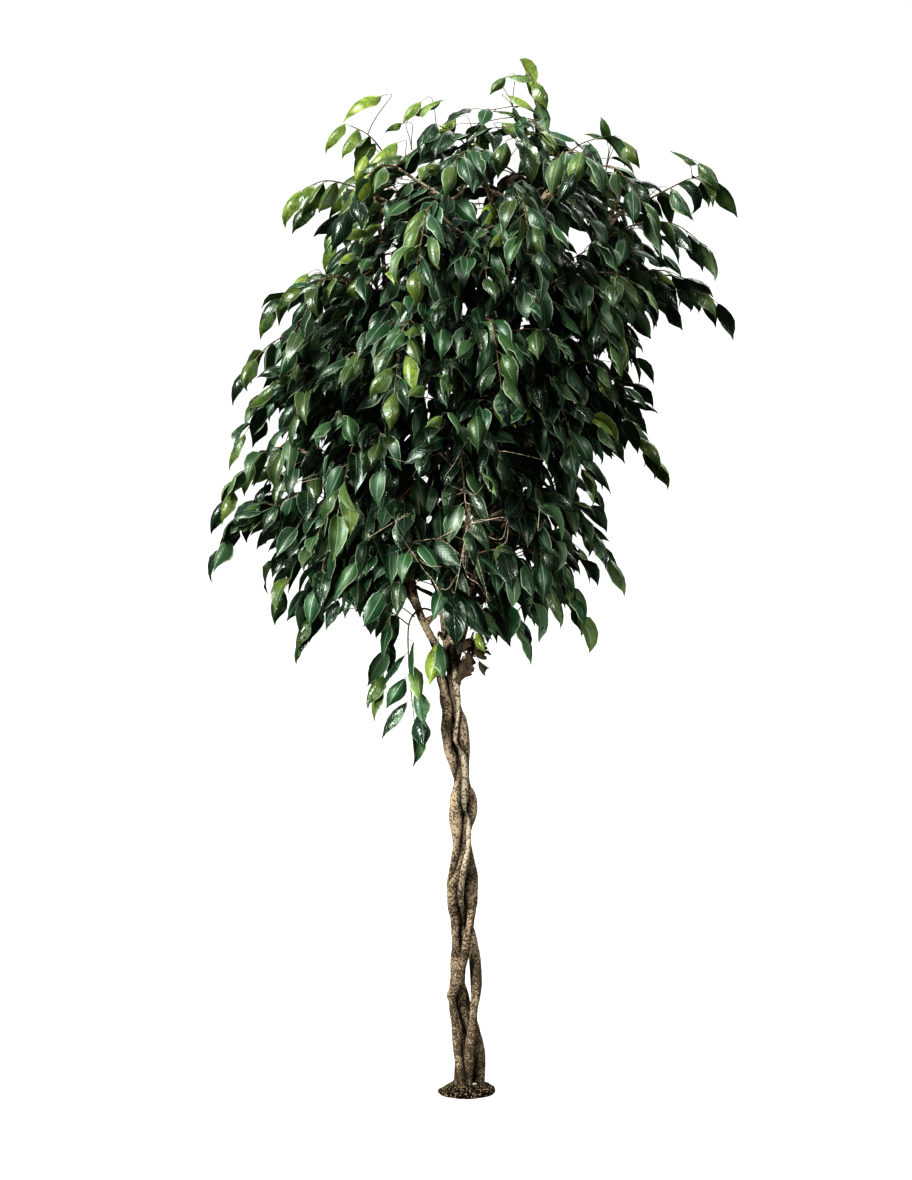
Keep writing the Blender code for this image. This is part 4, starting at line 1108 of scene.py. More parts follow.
def grit_material(name, colour):
    """Soil grains: dry bark chips and pumice, matt and a little mottled."""
    made, tree, shader = new_material(name)
    where = add_node(tree, "TexCoord", output="Object")
    mottle = add_node(tree, "TexNoise", {"Vector": where, "Scale": 1 / GRIT_MOTTLE, "Detail": 3.0})
    mottle = add_node(tree, "MapRange", (mottle, 0.35, 0.65), interpolation_type="SMOOTHSTEP")
    darker = [part * 0.35 for part in colour[:3]] + [1]
    set_inputs(tree, shader, {
        "Base Color": add_node(tree, "Mix", {0: mottle, 6: darker, 7: list(colour)}, 2, data_type="RGBA"),
        "Roughness": 0.9,
        "Specular IOR Level": 0.2,
    })
    return made


def evaluated_mesh(thing):
    """An object's mesh as the viewport shows it."""
    graph = bpy.context.evaluated_depsgraph_get()
    return bpy.data.meshes.new_from_object(thing.evaluated_get(graph))


def piece(name, mesh, finish, slot, *nodes):
    """The mesh as a smooth piece of the plant, which stands for the frame's nodes that are named."""
    mesh.materials.clear()
    mesh.materials.append(finish)
    mesh.shade_smooth()
    made = bpy.data.objects.new(name, mesh)
    bpy.context.scene.collection.objects.link(made)
    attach(made, "root")
    if nodes:
        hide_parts(*nodes)
    return made


def mesh_of(work, name):
    """The mesh that is being edited, as a new mesh."""
    mesh = bpy.data.meshes.new(name)
    work.to_mesh(mesh)
    work.free()
    return mesh


def tubes(name, runs, sides):
    """A mesh of closed round tubes along runs of points, each with a radius at every point."""
    curve = bpy.data.curves.new(name, "CURVE")
    curve.dimensions = "3D"
    curve.bevel_depth = 1
    curve.bevel_resolution = (sides - 4) // 2
    curve.use_fill_caps = True
    for points, radii in runs:
        spline = curve.splines.new("POLY")
        spline.points.add(len(points) - 1)
        for knot, place, radius in zip(spline.points, points, radii):
            knot.co = (*place, 1)
            knot.radius = radius
    line = bpy.data.objects.new(name, curve)
    bpy.context.scene.collection.objects.link(line)
    mesh = evaluated_mesh(line)
    bpy.data.objects.remove(line)
    work = bmesh.new()
    work.from_mesh(mesh)
    bmesh.ops.remove_doubles(work, verts=work.verts, dist=WELD_GAP)
    bmesh.ops.recalc_face_normals(work, faces=work.faces)
    work.to_mesh(mesh)
    work.free()
    return mesh


def smooth_run(points, radii, step):
    """A smooth curve through the points with its radii, flat steps of about the given length."""
    lengths = np.cumsum([0.0] + [(end - start).length for start, end in zip(points, points[1:])])
    fine = smooth_curve(points, step)
    marks = np.cumsum([0.0] + [(end - start).length for start, end in zip(fine, fine[1:])])
    return fine, list(np.interp(marks / marks[-1], lengths / lengths[-1], radii))


def fine_run(name, path, step):
    """A stem's middle line and radii at a step, with the bends and swellings that its solid leaves out."""
    line, radii = smooth_run(path, stem_radii(name, path), step)
    table = np.array(FINE_STEMS[name])
    places, widths = [], []
    for place, radius in zip(line, radii):
        right, back, share = (float(np.interp(place.z / MM, table[:, 0], table[:, k])) for k in (1, 2, 3))
        places.append(place + Vector((right, back, 0)) * MM)
        widths.append(radius * share)
    return places, widths


def roughen(mesh, stems):
    """Swells and grains the bark along its normals, and raises its knots."""
    for vertex in mesh.vertices:
        place = vertex.co
        lump = noise.noise(Vector((place.x, place.y, place.z * LUMP_STRETCH)) / stems.lump_length)
        grain = noise.noise(place / GRAIN_LENGTH)
        knot = sum(high * math.exp(-((place - Vector(spot) * MM).length / (wide * MM)) ** 2)
                   for *spot, high, wide in KNOTS_MM) * MM
        cut = crease_share(place) * CREASE_DEPTH
        out = lump * stems.lump_height + grain * stems.grain_height + knot - cut
        vertex.co = place + vertex.normal * out


def crease_share(place):
    """How deep a place on the bark's front is in a crease, from 0 to 1."""
    if place.y > 0 or place.z > CREASE_TOP:
        return 0.0
    share = 0.0
    for start_x, start_z, end_x, end_z in CREASES_MM:
        start = Vector((start_x, start_z)) * MM
        way = Vector((end_x, end_z)) * MM - start
        flat = Vector((place.x, place.z)) - start
        on = max(0.0, min(1.0, flat.dot(way) / way.length_squared))
        share = max(share, 1 - (flat - way * on).length / CREASE_REACH)
    return share


def paint_crevice_shade(mesh, name, paths):
    """Paints shade on a stem's points: 1 where another stem's bark touches, less further off, and also in its
    hollows and creases.
    """
    spots = np.empty((0, 3))
    radii = np.empty(0)
    for other, path in paths.items():
        if other != name:
            places, widths = fine_run(other, path, 5 * MM)
            spots = np.vstack([spots, places])
            radii = np.append(radii, widths)
    places = np.array([vertex.co for vertex in mesh.vertices])
    levels = np.empty(len(places))
    for start in range(0, len(places), CREVICE_BATCH):
        part = places[start:start + CREVICE_BATCH]
        apart = np.linalg.norm(part[:, None, :] - spots[None, :, :], axis=2) - radii[None, :]
        levels[start:start + CREVICE_BATCH] = np.clip(1 - apart.min(axis=1) / CREVICE_SHADE_REACH, 0, 1) ** 0.9
    # Painted shade also goes into the hollows and the creases.
    hollows = [(Vector(spot) * MM, wide * MM) for *spot, high, wide in KNOTS_MM if high < 0]
    for index, vertex in enumerate(mesh.vertices):
        pit = max(1 - (vertex.co - spot).length / (wide * 1.3) for spot, wide in hollows)
        levels[index] = max(levels[index], pit, crease_share(vertex.co) * 1.1)
    levels = np.clip(levels, 0, 1)
    layer = mesh.attributes.new("crevice_shade", "FLOAT", "POINT")
    layer.data.foreach_set("value", levels.astype(np.float32))


def flared(points, radii):
    """A limb's radii, with the swelling where it leaves its stem."""
    run = 0.0
    wider = []
    for index, radius in enumerate(radii):
        if index:
            run += (points[index] - points[index - 1]).length
        wider.append(radius * (1 + FLARE_SHARE * math.exp(-run / FLARE_LENGTH)))
    return wider


def leaf_template():
    """A ball whose rings are drawn out along each leaf: its poles are the stalk's root and the drip tip."""
    work = bmesh.new()
    bmesh.ops.create_uvsphere(work, u_segments=LEAF_SEGMENTS, v_segments=LEAF_RINGS, radius=1)
    layer = work.loops.layers.uv.new("LeafMap")
    starts = [*STALK_MARKS, *(row[0] for row in BLADE_ROWS), 1.0]
    for edge in work.edges:
        edge.smooth = not all(abs(vert.co.y) < 0.001 for vert in edge.verts)
    for face in work.faces:
        below = face.calc_center_median().y < 0
        for loop in face.loops:
            ring, across, _ = leaf_spot(loop.vert.co)
            loop[layer].uv = (across, starts[ring] + (UNDERSIDE if below else 0.0))
    mesh = mesh_of(work, "leaf_template")
    spots = [leaf_spot(vertex.co) for vertex in mesh.vertices]
    return mesh, np.array([spot[0] for spot in spots]), np.array([spot[1:] for spot in spots])


def leaf_spot(place):
    """A template point's ring, how far it is across the blade from -1 to 1, and which side it is on."""
    ring = round(math.acos(max(-1.0, min(1.0, place.z))) / math.pi * LEAF_RINGS)
    level = math.hypot(place.x, place.y)
    if level < 0.001:
        return ring, 0.0, 0.0
    across = place.x / level
    return ring, math.copysign(abs(across) ** 1.5, across), place.y / level


def leaf_places(seat, rng, shape, leaves, curl):
    """Where the template's points go for one leaf, more bent and folded the more it curls."""
    root, stalk, blade, face, length = seat
    _, rings, spots = shape
    face = (face - blade * face.dot(blade)).normalized()
    side = blade.cross(face)
    neck = root + stalk * leaves.stalk
    half = length * leaves.width / 2 * rng.uniform(*LEAF_VARIES["width"])
    bend = leaves.bend * (rng.uniform(*LEAF_VARIES["bend"]) + curl * rng.uniform(*LEAF_VARIES["curl"]))
    groove = rng.uniform(*LEAF_VARIES["groove"])
    dome = rng.uniform(*LEAF_VARIES["dome"]) + 0.5 * curl
    if rng.random() < DISHED_SHARE:
        dome = rng.uniform(*LEAF_VARIES["dish"])
    twist = rng.uniform(*LEAF_VARIES["twist"])
    sway = rng.uniform(*LEAF_VARIES["sway"])
    hook = rng.uniform(*LEAF_VARIES["hook"])
    phase = rng.uniform(0, math.tau)
    wave = leaves.wave * rng.uniform(*LEAF_VARIES["wave"])
    early_face = (face - stalk * face.dot(stalk)).normalized()
    early_side = stalk.cross(early_face)
    rows = []
    for back in (leaves.stalk + 1 * MM, leaves.stalk * 0.9, 0.0):
        rows.append((neck - stalk * back, early_side, early_face, leaves.stalk_radius, leaves.stalk_radius))
    place = neck.copy()
    before = 0.0
    for share, width in [*BLADE_ROWS, (1.0, 0.0)]:
        middle = (share + before) / 2
        angle = bend * (middle - 0.5) + hook * max(0.0, middle - HOOK_FROM) * 4
        way = blade * math.cos(angle) - face * math.sin(angle) + side * sway * middle
        way.normalize()
        place = place + way * length * (share - before)
        turned = Matrix.Rotation(twist * share, 3, way) @ side
        rows.append((place, turned, turned.cross(way).normalized(), half * width, leaves.depth))
        before = share
    middles, sides, fronts, halves, depths = (np.array([row[k] for row in rows])[rings] for k in range(5))
    halves = halves[:, None]
    across = spots[:, :1]
    reach = np.abs(across)
    blade_part = (rings >= STALK_ROWS)[:, None]
    ripple = np.sin(rings[:, None] * 1.7 + phase + 2.2 * np.sign(across)) * wave * reach**2 * (halves / half)
    lift = (groove * reach - dome * reach**2) * halves + ripple
    raised = np.where(blade_part, lift, 0.0) + spots[:, 1:] * depths[:, None]
    return middles + sides * across * halves * (0.97 - 0.14 * min(curl, 1.5)) + fronts * raised


def inside_crown(place, share):
    """Whether a place lies in the crown's rounded form, or in a share of it."""
    heights = [row[0] * MM for row in CROWN_SIDES]
    if not heights[0] < place.z < heights[-1]:
        return False
    left, right = (float(np.interp(place.z, heights, [row[k] * MM for row in CROWN_SIDES])) for k in (1, 2))
    half = (right - left) / 2
    level = (place.x - (left + right) / 2) / half
    deep = place.y / min(half * CROWN_DEPTH, CROWN_DEEPEST)
    return level**2 + deep**2 <= share**2


def twig_ends(sprays, crown):
    """Even places for the side twigs' ends, in the outer part of the crown."""
    ends = np.array([spray["twig"][-1] for spray in sprays])
    rng = random.Random(f"{SEED} ends")
    found = []
    while len(found) < crown.twigs:
        best = None
        for _ in range(crown.tries):
            end = Vector([rng.uniform(*reach) for reach in ENDS_BOX])
            tip = end + outward_at(end) * END_LEAF_OUT - UP * END_LEAF_DOWN
            hollow = inside_crown(end, crown.hollow)
            beside = abs(end.x - WINDOW_MIDDLE) < WINDOW_HALF
            window = beside and end.z < WINDOW_TOP and end.y < WINDOW_BACK
            thinned = rng.random() < (end.z - THIN_TWIGS_FROM) / THIN_TWIGS_SPAN
            if inside_crown(tip, CROWN_FILL) and not (hollow or window or thinned):
                room = float(np.min(np.sum((ends - np.array(end)) ** 2, axis=1)))
                if best is None or room > best[0]:
                    best = (room, end)
        if best:
            ends = np.vstack([ends, best[1]])
            found.append(best[1])
    return found


def grow_side_twigs(sprays, crown):
    """A side twig to each end, from the place on a limb or twig that it would most likely grow from."""
    starts, owners = [], []
    for spray in sprays:
        spray["side_twigs"] = []
        line = spray["limb"][1:-1] + spray["twig"]
        places = sample(line, [0] * len(line), START_STEP)[0]
        starts.extend(places)
        owners.extend([spray] * len(places))
    starts = np.array(starts)
    for number, end in enumerate(twig_ends(sprays, crown)):
        if end.z < crown_floor(end.x) + FLOOR_MARGIN:
            continue
        rng = random.Random(f"{SEED} side {number}")
        out = outward_at(end)
        apart = np.array(end) - starts
        length = np.linalg.norm(apart, axis=1)
        outwards = apart @ np.array(out) / length
        rise = apart[:, 2] / length
        cost = np.abs(length - crown.reach) * LENGTH_COST - outwards * OUTWARD_GAIN
        cost += np.abs(rise - USUAL_RISE) * RISE_COST
        best = int(np.argmin(cost))
        start = Vector(starts[best])
        level = Vector((end.x - start.x, end.y - start.y, 0)).normalized()
        fall_share = read_table(TWIG_FALL, end.z) * rng.uniform(*SIDE_TWIG_FALLS)
        heading = (level + UP * rng.uniform(*SIDE_TWIG_RISES)).normalized()
        fall = (level + out - UP * fall_share).normalized()
        reach = (end - start).length
        first, last = SIDE_TWIG_PULLS
        start_pull, end_pull = start + heading * reach * first, end - fall * reach * last
        twig = bezier(start, start_pull, end_pull, end, SIDE_TWIG_PARTS)
        owners[best]["side_twigs"].append(twig)


def crown_floor(x):
    """How low the crown hangs, as the front shows it."""
    floor = np.array(CROWN_FLOOR) * MM
    return float(np.interp(x, floor[:, 0], floor[:, 1]))


def in_gap(place):
    """Whether a leaf with its middle at a place would hide one of the crown's gaps."""
    stage = bpy.context.scene.fig_stage
    near = stage.distance / (stage.distance + place.y)
    x = FRONT_MIDDLE + (place.x - FRONT_MIDDLE) * near
    z = stage.eye + (place.z - stage.eye) * near
    aside, above = GAP_MARGINS_MM
    return any(abs(x - gap_x * MM) < (wide + aside) * MM and abs(z - gap_z * MM) < (wide + above) * MM
               for gap_x, gap_z, wide in GAPS_MM)


def crown_edge(place):
    """How near a place is to the crown's upper or outer edge, from 0 inside to 1 at the edge."""
    for share in (0.75, 0.85, 0.95):
        if inside_crown(place, share):
            return (share - 0.75) * 4
    return 1.0


def hung_out(seat, rng, rise):
    """A leaf's seat turned at random, and near the crown's edge with its blade arching outwards and down."""
    root, stalk, blade, face, length = seat
    out = outward_at(root)
    across = UP.cross(out)
    outwards, aside, up = (rng.uniform(*reach) for reach in BLADE_SWAYS.values())
    sway = out * outwards + across * aside + UP * up
    blade = (blade * (1 - BLADE_LOSS * rise) + sway * rise).normalized()
    face = face * (1 - FACE_LOSS * rise) + (UP + out * FACE_OUT) * rise * rng.uniform(*FACE_LIFTS)
    face.rotate(Euler((0, 0, rng.uniform(*FACE_TURNS))))
    length = length * rng.uniform(*SIDE_LEAF_SHARES) * (1 - EDGE_LEAF_LOSS * rise)
    return root, stalk, blade, face, length


def spray_seats(spray):
    """Every leaf's seat on a spray, its age from 0, grown, to 1, young, its random draws and how it curls."""
    seats = []
    for line_number, twig in enumerate([spray["twig"], *spray["side_twigs"]]):
        rng = random.Random(f"{SEED} age {spray['number']} {line_number}")
        high = max(0.0, min(1.0, (twig[-1].z - YOUNG_FROM) / YOUNG_SPAN))
        fresh = spray["number"] in YOUNG_SPRAYS and line_number < SPRAY_YOUNG_TWIGS
        young = SPRAY_YOUTH if fresh else 0.0
        if not young and rng.random() < YOUNG_CHANCE_LOW + YOUNG_CHANCE_ADDED * high:
            young = rng.uniform(*TWIG_YOUTHS)
            young *= INNER_YOUTH + (1 - INNER_YOUTH) * crown_edge(twig[-1])
        count = int((run_length(twig) - 4 * MM) / LEAF_PITCH) + 1
        if line_number == 0:
            count = min(count, MOST_LEAVES)
        for index in range(count):
            leaf_rng = random.Random(f"{SEED} {spray['number']} {index} {line_number}")
            seat = leaf_seat(twig, index, leaf_rng, SIDE_TWIG_LOOSER if line_number else 0.0)
            if line_number:
                rise = max(high, crown_edge(seat[0])) * leaf_rng.uniform(*EDGE_SHARES)
                seat = hung_out(seat, leaf_rng, rise)
                tip = seat[0] + seat[2] * seat[4]
                if tip.z < crown_floor(tip.x) or in_gap((seat[0] + tip) / 2):
                    continue
                if leaf_rng.random() < (tip.z - THIN_LEAVES_FROM) / THIN_LEAVES_SPAN:
                    continue
            age = max(0.0, young - YOUTH_LOSS * index) * leaf_rng.uniform(*YOUTH_SHARES)
            edge = crown_edge(seat[0] + seat[2] * 0.03)
            edge_age = edge * leaf_rng.uniform(*EDGE_YOUTHS)
            stray_age = STRAY_YOUTH if leaf_rng.random() < STRAY_CHANCE else 0.0
            age = max(age, edge_age, stray_age)
            seats.append((seat, age, leaf_rng, edge))
    return seats


def leaf_mesh(name, seats, shape, leaves):
    """All of a spray's leaves in one mesh, with each leaf's age and shade on its points."""
    work = bmesh.new()
    for _ in seats:
        work.from_mesh(shape[0])
    mesh = mesh_of(work, name)
    places = np.vstack([leaf_places(seat, rng, shape, leaves, curl) for seat, _, rng, curl in seats])
    mesh.vertices.foreach_set("co", places.astype(np.float32).ravel())
    count = len(shape[1])
    for kind, values in (("leaf_age", [age for _, age, _, _ in seats]),
                         ("leaf_shade", [rng.random() for _, _, rng, _ in seats])):
        layer = mesh.attributes.new(kind, "FLOAT", "POINT")
        layer.data.foreach_set("value", np.repeat(np.array(values, np.float32), count))
    work = bmesh.new()
    work.from_mesh(mesh)
    bmesh.ops.recalc_face_normals(work, faces=work.faces)
    work.to_mesh(mesh)
    work.free()
    return mesh


class FIG_OT_stems(Operator):
    """Makes the plaited stems with their leaders and limbs"""

    bl_idname = "fig.stems"
    bl_label = "Stems"

    def execute(self, context):
        stems = context.scene.fig_stems
        bark = bark_material("speckled_fig_bark", stems.light, stems.dark, stems.crease, 1.0)
        pale = bark_material("pale_young_bark", stems.pale, stems.dark, stems.crease, 0.5)
        paths = plant()["paths"]
        for name, path in paths.items():
            work = bmesh.new()
            work.from_mesh(tubes(name, [fine_run(name, path, stems.ring_gap)], stems.sides))
            limbs = []
            for spray in plant()["sprays"]:
                if spray["stem"] == name:
                    line, radii = smooth_run(spray["limb"], tapered(spray["limb"], LIMB_RADII), 8 * MM)
                    limbs.append((line, flared(line, radii)))
            work.from_mesh(tubes(f"{name}_limbs", limbs, 10))
            mesh = mesh_of(work, name)
            roughen(mesh, stems)
            paint_crevice_shade(mesh, name, paths)
            slot = STEMS[name]["bark"]
            piece(f"{name}_wood", mesh, pale if slot == "pale_bark" else bark, slot, name)
        return {"FINISHED"}


class FIG_OT_leaves(Operator):
    """Makes each spray's leaves on its own and its side twigs"""

    bl_idname = "fig.leaves"
    bl_label = "Leaves"

    def execute(self, context):
        leaves = context.scene.fig_leaves
        grown = leaf_material("waxy_fig_leaf", leaves)
        shape = leaf_template()
        for spray in plant()["sprays"]:
            seats = spray_seats(spray)
            mesh = leaf_mesh(spray["name"] + "_leaves", seats, shape, leaves)
            slot = "young_leaf" if spray["number"] in YOUNG_SPRAYS else "leaf"
            piece(spray["name"] + "_leaves", mesh, grown, slot, spray["name"])
        return {"FINISHED"}


class FIG_OT_twigs(Operator):
    """Makes the twigs that the leaves hang from, and bare ones inside the crown"""

    bl_idname = "fig.twigs"
    bl_label = "Twigs"

    def execute(self, context):
        stems = context.scene.fig_stems
        crown = context.scene.fig_crown
        bark = bark_material("fine_twig_bark", stems.twig, stems.dark, stems.crease, 0.8)
        for name in STEMS:
            runs = []
            for spray in plant()["sprays"]:
                if spray["stem"] == name:
                    runs.append(smooth_run(spray["twig"], tapered(spray["twig"], CROWN_TWIG_RADII), 6 * MM))
                    for twig in spray["side_twigs"]:
                        runs.append(smooth_run(twig, tapered(twig, SIDE_TWIG_RADII), 9 * MM))
            runs.extend(bare_twigs(name, crown.bare // len(STEMS)))
            piece(f"{name}_twigs", tubes(f"{name}_twigs", runs, 6), bark, "bark")
        return {"FINISHED"}


def bare_twigs(name, count):
    """Fine leafless twigs on a stem's limbs, low in the crown's middle."""
    limbs = [spray["limb"] for spray in plant()["sprays"] if spray["stem"] == name]
    runs = []
    for number in range(count):
        rng = random.Random(f"{SEED} bare {name} {number}")
        start, on = along(rng.choice(limbs), rng.uniform(*BARE_STARTS))
        if not BARE_HEIGHTS[0] < start.z < BARE_HEIGHTS[1] or abs(start.x) > BARE_SIDE or start.y > 0.0:
            continue
        way = Vector([rng.uniform(-1, 1) for _ in range(3)]).normalized()
        way = (way + on * BARE_KEEPS - Vector((0, BARE_FORWARD, 0))).normalized()
        length = rng.uniform(*BARE_LENGTHS)
        bent = Vector([rng.uniform(-1, 1) for _ in range(3)]) * length * BARE_BEND
        end = start + way * length - UP * length * rng.uniform(*BARE_SAGS)
        twig = bezier(start, start + way * length * BARE_PULL, end + bent, end, BARE_PARTS)
        runs.append((twig, tapered(twig, INNER_TWIG_RADII)))
    return runs


def leaf_towards(root, way, face, length):
    """A seat for a leaf that hangs from its root along a way."""
    root, way, face = Vector(root) * MM, Vector(way).normalized(), Vector(face)
    return root, way, way, face, length * MM


def edge_growth(leaves):
    """The single edge leaves' seats, the twigs to them, and the bare twigs, all from the nearest wood."""
    places = []
    for spray in plant()["sprays"]:
        for line in (spray["twig"], *spray["side_twigs"]):
            places.extend(line)
    seats, runs, bare = [], [], []
    for number, (x, z, tip_x, tip_z, deep, age, front) in enumerate(EDGE_LEAVES):
        rng = random.Random(f"{SEED} edge {number}")
        root = Vector((x, deep, z)) * MM
        reach = Vector((tip_x, deep - EDGE_TIP_FORWARD_MM, tip_z)) * MM - root
        way = reach.normalized()
        face = UP * (1 - front) - Vector((0, front, 0))
        stalk = (way + UP * EDGE_STALK_RISE).normalized()
        foot = root - stalk * leaves.stalk
        highest = foot.z - EDGE_WOOD_UNDER
        start = min(places, key=lambda place: (
            (place - foot).length + EDGE_WOOD_COST * max(0.0, place.z - highest)))
        span = (foot - start).length
        rise = (foot - start).normalized() + UP * EDGE_TWIG_RISE
        first, last = EDGE_TWIG_PULLS
        start_pull, end_pull = start + rise * span * first, foot - stalk * span * last
        twig = bezier(start, start_pull, end_pull, foot, EDGE_TWIG_PARTS)
        runs.append((twig, tapered(twig, EDGE_TWIG_RADII)))
        seat = (foot, stalk, way, face, reach.length * EDGE_LEAF_LONGER)
        seats.append((seat, age, rng, EDGE_LEAF_CURL))
    for number, spots in enumerate(BARE_TWIGS):
        rng = random.Random(f"{SEED} bare twig {number}")
        knots = [Vector((x, rng.uniform(*BARE_DEPTHS), z)) * MM for x, z in spots]
        knots.insert(0, min(places, key=lambda place: (place - knots[0]).length))
        bare.append(smooth_run(knots, tapered(knots, BARE_TWIG_RADII), 6 * MM))
    return seats, runs, bare


class FIG_OT_edge_growth(Operator):
    """Makes the single leaves that stand out from the crown, their twigs, and the bare twigs before it"""

    bl_idname = "fig.edge_growth"
    bl_label = "Edge growth"

    def execute(self, context):
        stems = context.scene.fig_stems
        leaves = context.scene.fig_leaves
        seats, runs, bare = edge_growth(leaves)
        bark = bark_material("green_twig_bark", stems.twig, stems.dark, stems.crease, 0.5)
        piece("edge_twigs", tubes("edge_twigs", runs, 6), bark, "bark")
        dry = bark_material("dry_twig_bark", stems.pale, stems.dark, stems.crease, 0.5)
        piece("bare_twigs", tubes("bare_twigs", bare, 6), dry, "pale_bark")
        mesh = leaf_mesh("edge_leaves", seats, leaf_template(), leaves)
        piece("edge_leaves", mesh, leaf_material("waxy_edge_leaf", leaves), "leaf")
        return {"FINISHED"}


class FIG_OT_low_growth(Operator):
    """Makes the young leaf, the dark one beside it and the clump of dry curled leaves low on the stems"""

    bl_idname = "fig.low_growth"
    bl_label = "Low growth"

    def execute(self, context):
        stems = context.scene.fig_stems
        leaves = context.scene.fig_leaves
        shape = leaf_template()
        runs = []
        for knots in LOW_TWIGS.values():
            knots = [Vector(knot) * MM for knot in knots]
            runs.append(smooth_run(knots, tapered(knots, LOW_TWIG_RADII), 3 * MM))
        bark = bark_material("low_twig_bark", stems.light, stems.dark, stems.crease, 0.9)
        piece("low_twigs", tubes("low_twigs", runs, 8), bark, "bark")
        young = [(leaf_towards(root, way, face, length), age, random.Random(f"{SEED} young leaf 12"), 0.2)
                 for root, way, face, length, age in YOUNG_LEAVES]
        mesh = leaf_mesh("low_young_leaf", young, shape, leaves)
        piece("low_young_leaf", mesh, leaf_material("soft_young_fig_leaf", leaves), "young_leaf")
        dry = []
        for number, (root, way, length) in enumerate(DRY_LEAVES):
            rng = random.Random(f"{SEED} dry {number}")
            face = (rng.uniform(-1, 1), rng.uniform(-1, 0.3), rng.uniform(-0.3, 0.3))
            dry.append((leaf_towards(root, way, face, length), 0.0, rng, 3.2))
        mesh = leaf_mesh("dry_leaves", dry, shape, leaves)
        piece("dry_leaves", mesh, dry_leaf_material("dry_curled_leaf", leaves), "leaf")
        return {"FINISHED"}


def soil_tip(x):
    """How near a place is to the soil's thin left tip, from 0 to 1."""
    return min(1.0, max(0.0, -x / SOIL_RADIUS - TIP_FROM) / (1 - TIP_FROM))


def soil_mesh():
    """The pad of soil: its profile turned round, with a waving rim, a thin left tip and a crumbled top."""
    work = bmesh.new()
    spots = [work.verts.new((x * MM, 0, z * MM)) for x, z in [(0, 0), *SOIL_PROFILE_MM[:-1]]]
    spots.append(work.verts.new((0, 0, SOIL_PROFILE_MM[-1][1] * MM)))
    edges = [work.edges.new(pair) for pair in zip(spots, spots[1:])]
    bmesh.ops.spin(work, geom=spots + edges, cent=(0, 0, 0), axis=(0, 0, 1), angle=math.tau, steps=64,
                   use_merge=True)
    bmesh.ops.remove_doubles(work, verts=work.verts, dist=0.01 * MM)
    bmesh.ops.subdivide_edges(work, edges=work.edges, cuts=2, use_grid_fill=True)
    bmesh.ops.recalc_face_normals(work, faces=work.faces)
    for vertex in work.verts:
        angle = math.atan2(vertex.co.y, vertex.co.x)
        swell = 1 + sum(size * math.sin(count * angle + turn) for count, size, turn in SOIL_WAVES)
        vertex.co.xy *= swell
        tip = soil_tip(vertex.co.x)
        vertex.co.x *= 1 + TIP_STRETCH * tip
        vertex.co.z *= 1 - TIP_THINNING * tip
        if vertex.co.z > 0.5 * MM:
            vertex.co += vertex.co.normalized() * noise.noise(vertex.co / CRUMB_LENGTH) * CRUMB_HEIGHT
    return mesh_of(work, "soil_mound")


def grain_mesh(name, count, soil):
    """Loose grains strewn over the mound, each a squashed and turned ball."""
    rng = random.Random(f"{SEED} {name}")
    outs, heights = zip(*[(x * MM, z * MM) for x, z in SOIL_PROFILE_MM[::-1]])
    grains = bmesh.new()
    for _ in range(count):
        angle = rng.uniform(0, math.tau)
        out = math.sqrt(rng.random()) * GRAINS_REACH
        x, y = out * math.cos(angle), out * math.sin(angle)
        height = float(np.interp(out, outs, heights)) * (1 - TIP_THINNING * soil_tip(x))
        size = rng.uniform(soil.smallest, soil.largest)
        place = Matrix.Translation((x, y, height + size * 0.3))
        turned = Euler([rng.uniform(0, math.tau) for _ in range(3)]).to_matrix().to_4x4()
        shape = Matrix.Diagonal((size, size * rng.uniform(0.5, 0.9), size * rng.uniform(0.5, 0.8), 1))
        bmesh.ops.create_icosphere(grains, subdivisions=1, radius=1, matrix=place @ turned @ shape)
    return mesh_of(grains, name)


def pebble_mesh():
    """A squashed ball with a few dents, at the right of the mound's front."""
    pebble = bmesh.new()
    place = Matrix.Translation(PEBBLE_PLACE) @ Matrix.Diagonal((*PEBBLE_HALVES, 1))
    bmesh.ops.create_icosphere(pebble, subdivisions=3, radius=1, matrix=place)
    for vertex in pebble.verts:
        vertex.co += vertex.normal * noise.noise(vertex.co / (2 * MM)) * 0.4 * MM
    return mesh_of(pebble, "pebble")


class FIG_OT_soil(Operator):
    """Makes the pad of soil with its loose grains"""

    bl_idname = "fig.soil"
    bl_label = "Soil"

    def execute(self, context):
        soil = context.scene.fig_soil
        earth = soil_material("damp_potting_soil", soil.earth, soil.grit)
        piece("soil_mound", soil_mesh(), earth, "soil", "soil")
        colours = {"dark_grains": soil.earth, "pale_grains": soil.grit}
        for name, share in GRAIN_SHARES.items():
            mesh = grain_mesh(name, int(soil.grains * share), soil)
            piece(f"soil_{name}", mesh, grit_material(name, colours[name]), "soil")
        piece("soil_pebble", pebble_mesh(), grit_material("pale_pebble", soil.pebble), "soil")
        return {"FINISHED"}


def place_camera(scene, stage):
    """A camera before the plant's front, aimed at the middle of its height."""
    camera = bpy.data.objects.new("camera", bpy.data.cameras.new("camera"))
    camera.location = (FRONT_MIDDLE, -stage.distance, stage.eye)
    aim = Vector((FRONT_MIDDLE, 0, stage.aim)) - camera.location
    camera.rotation_euler = aim.to_track_quat("-Z", "Y").to_euler()
    camera.data.lens = stage.lens
    camera.data.sensor_width = SENSOR_WIDTH
    scene.collection.objects.link(camera)
    scene.camera = camera


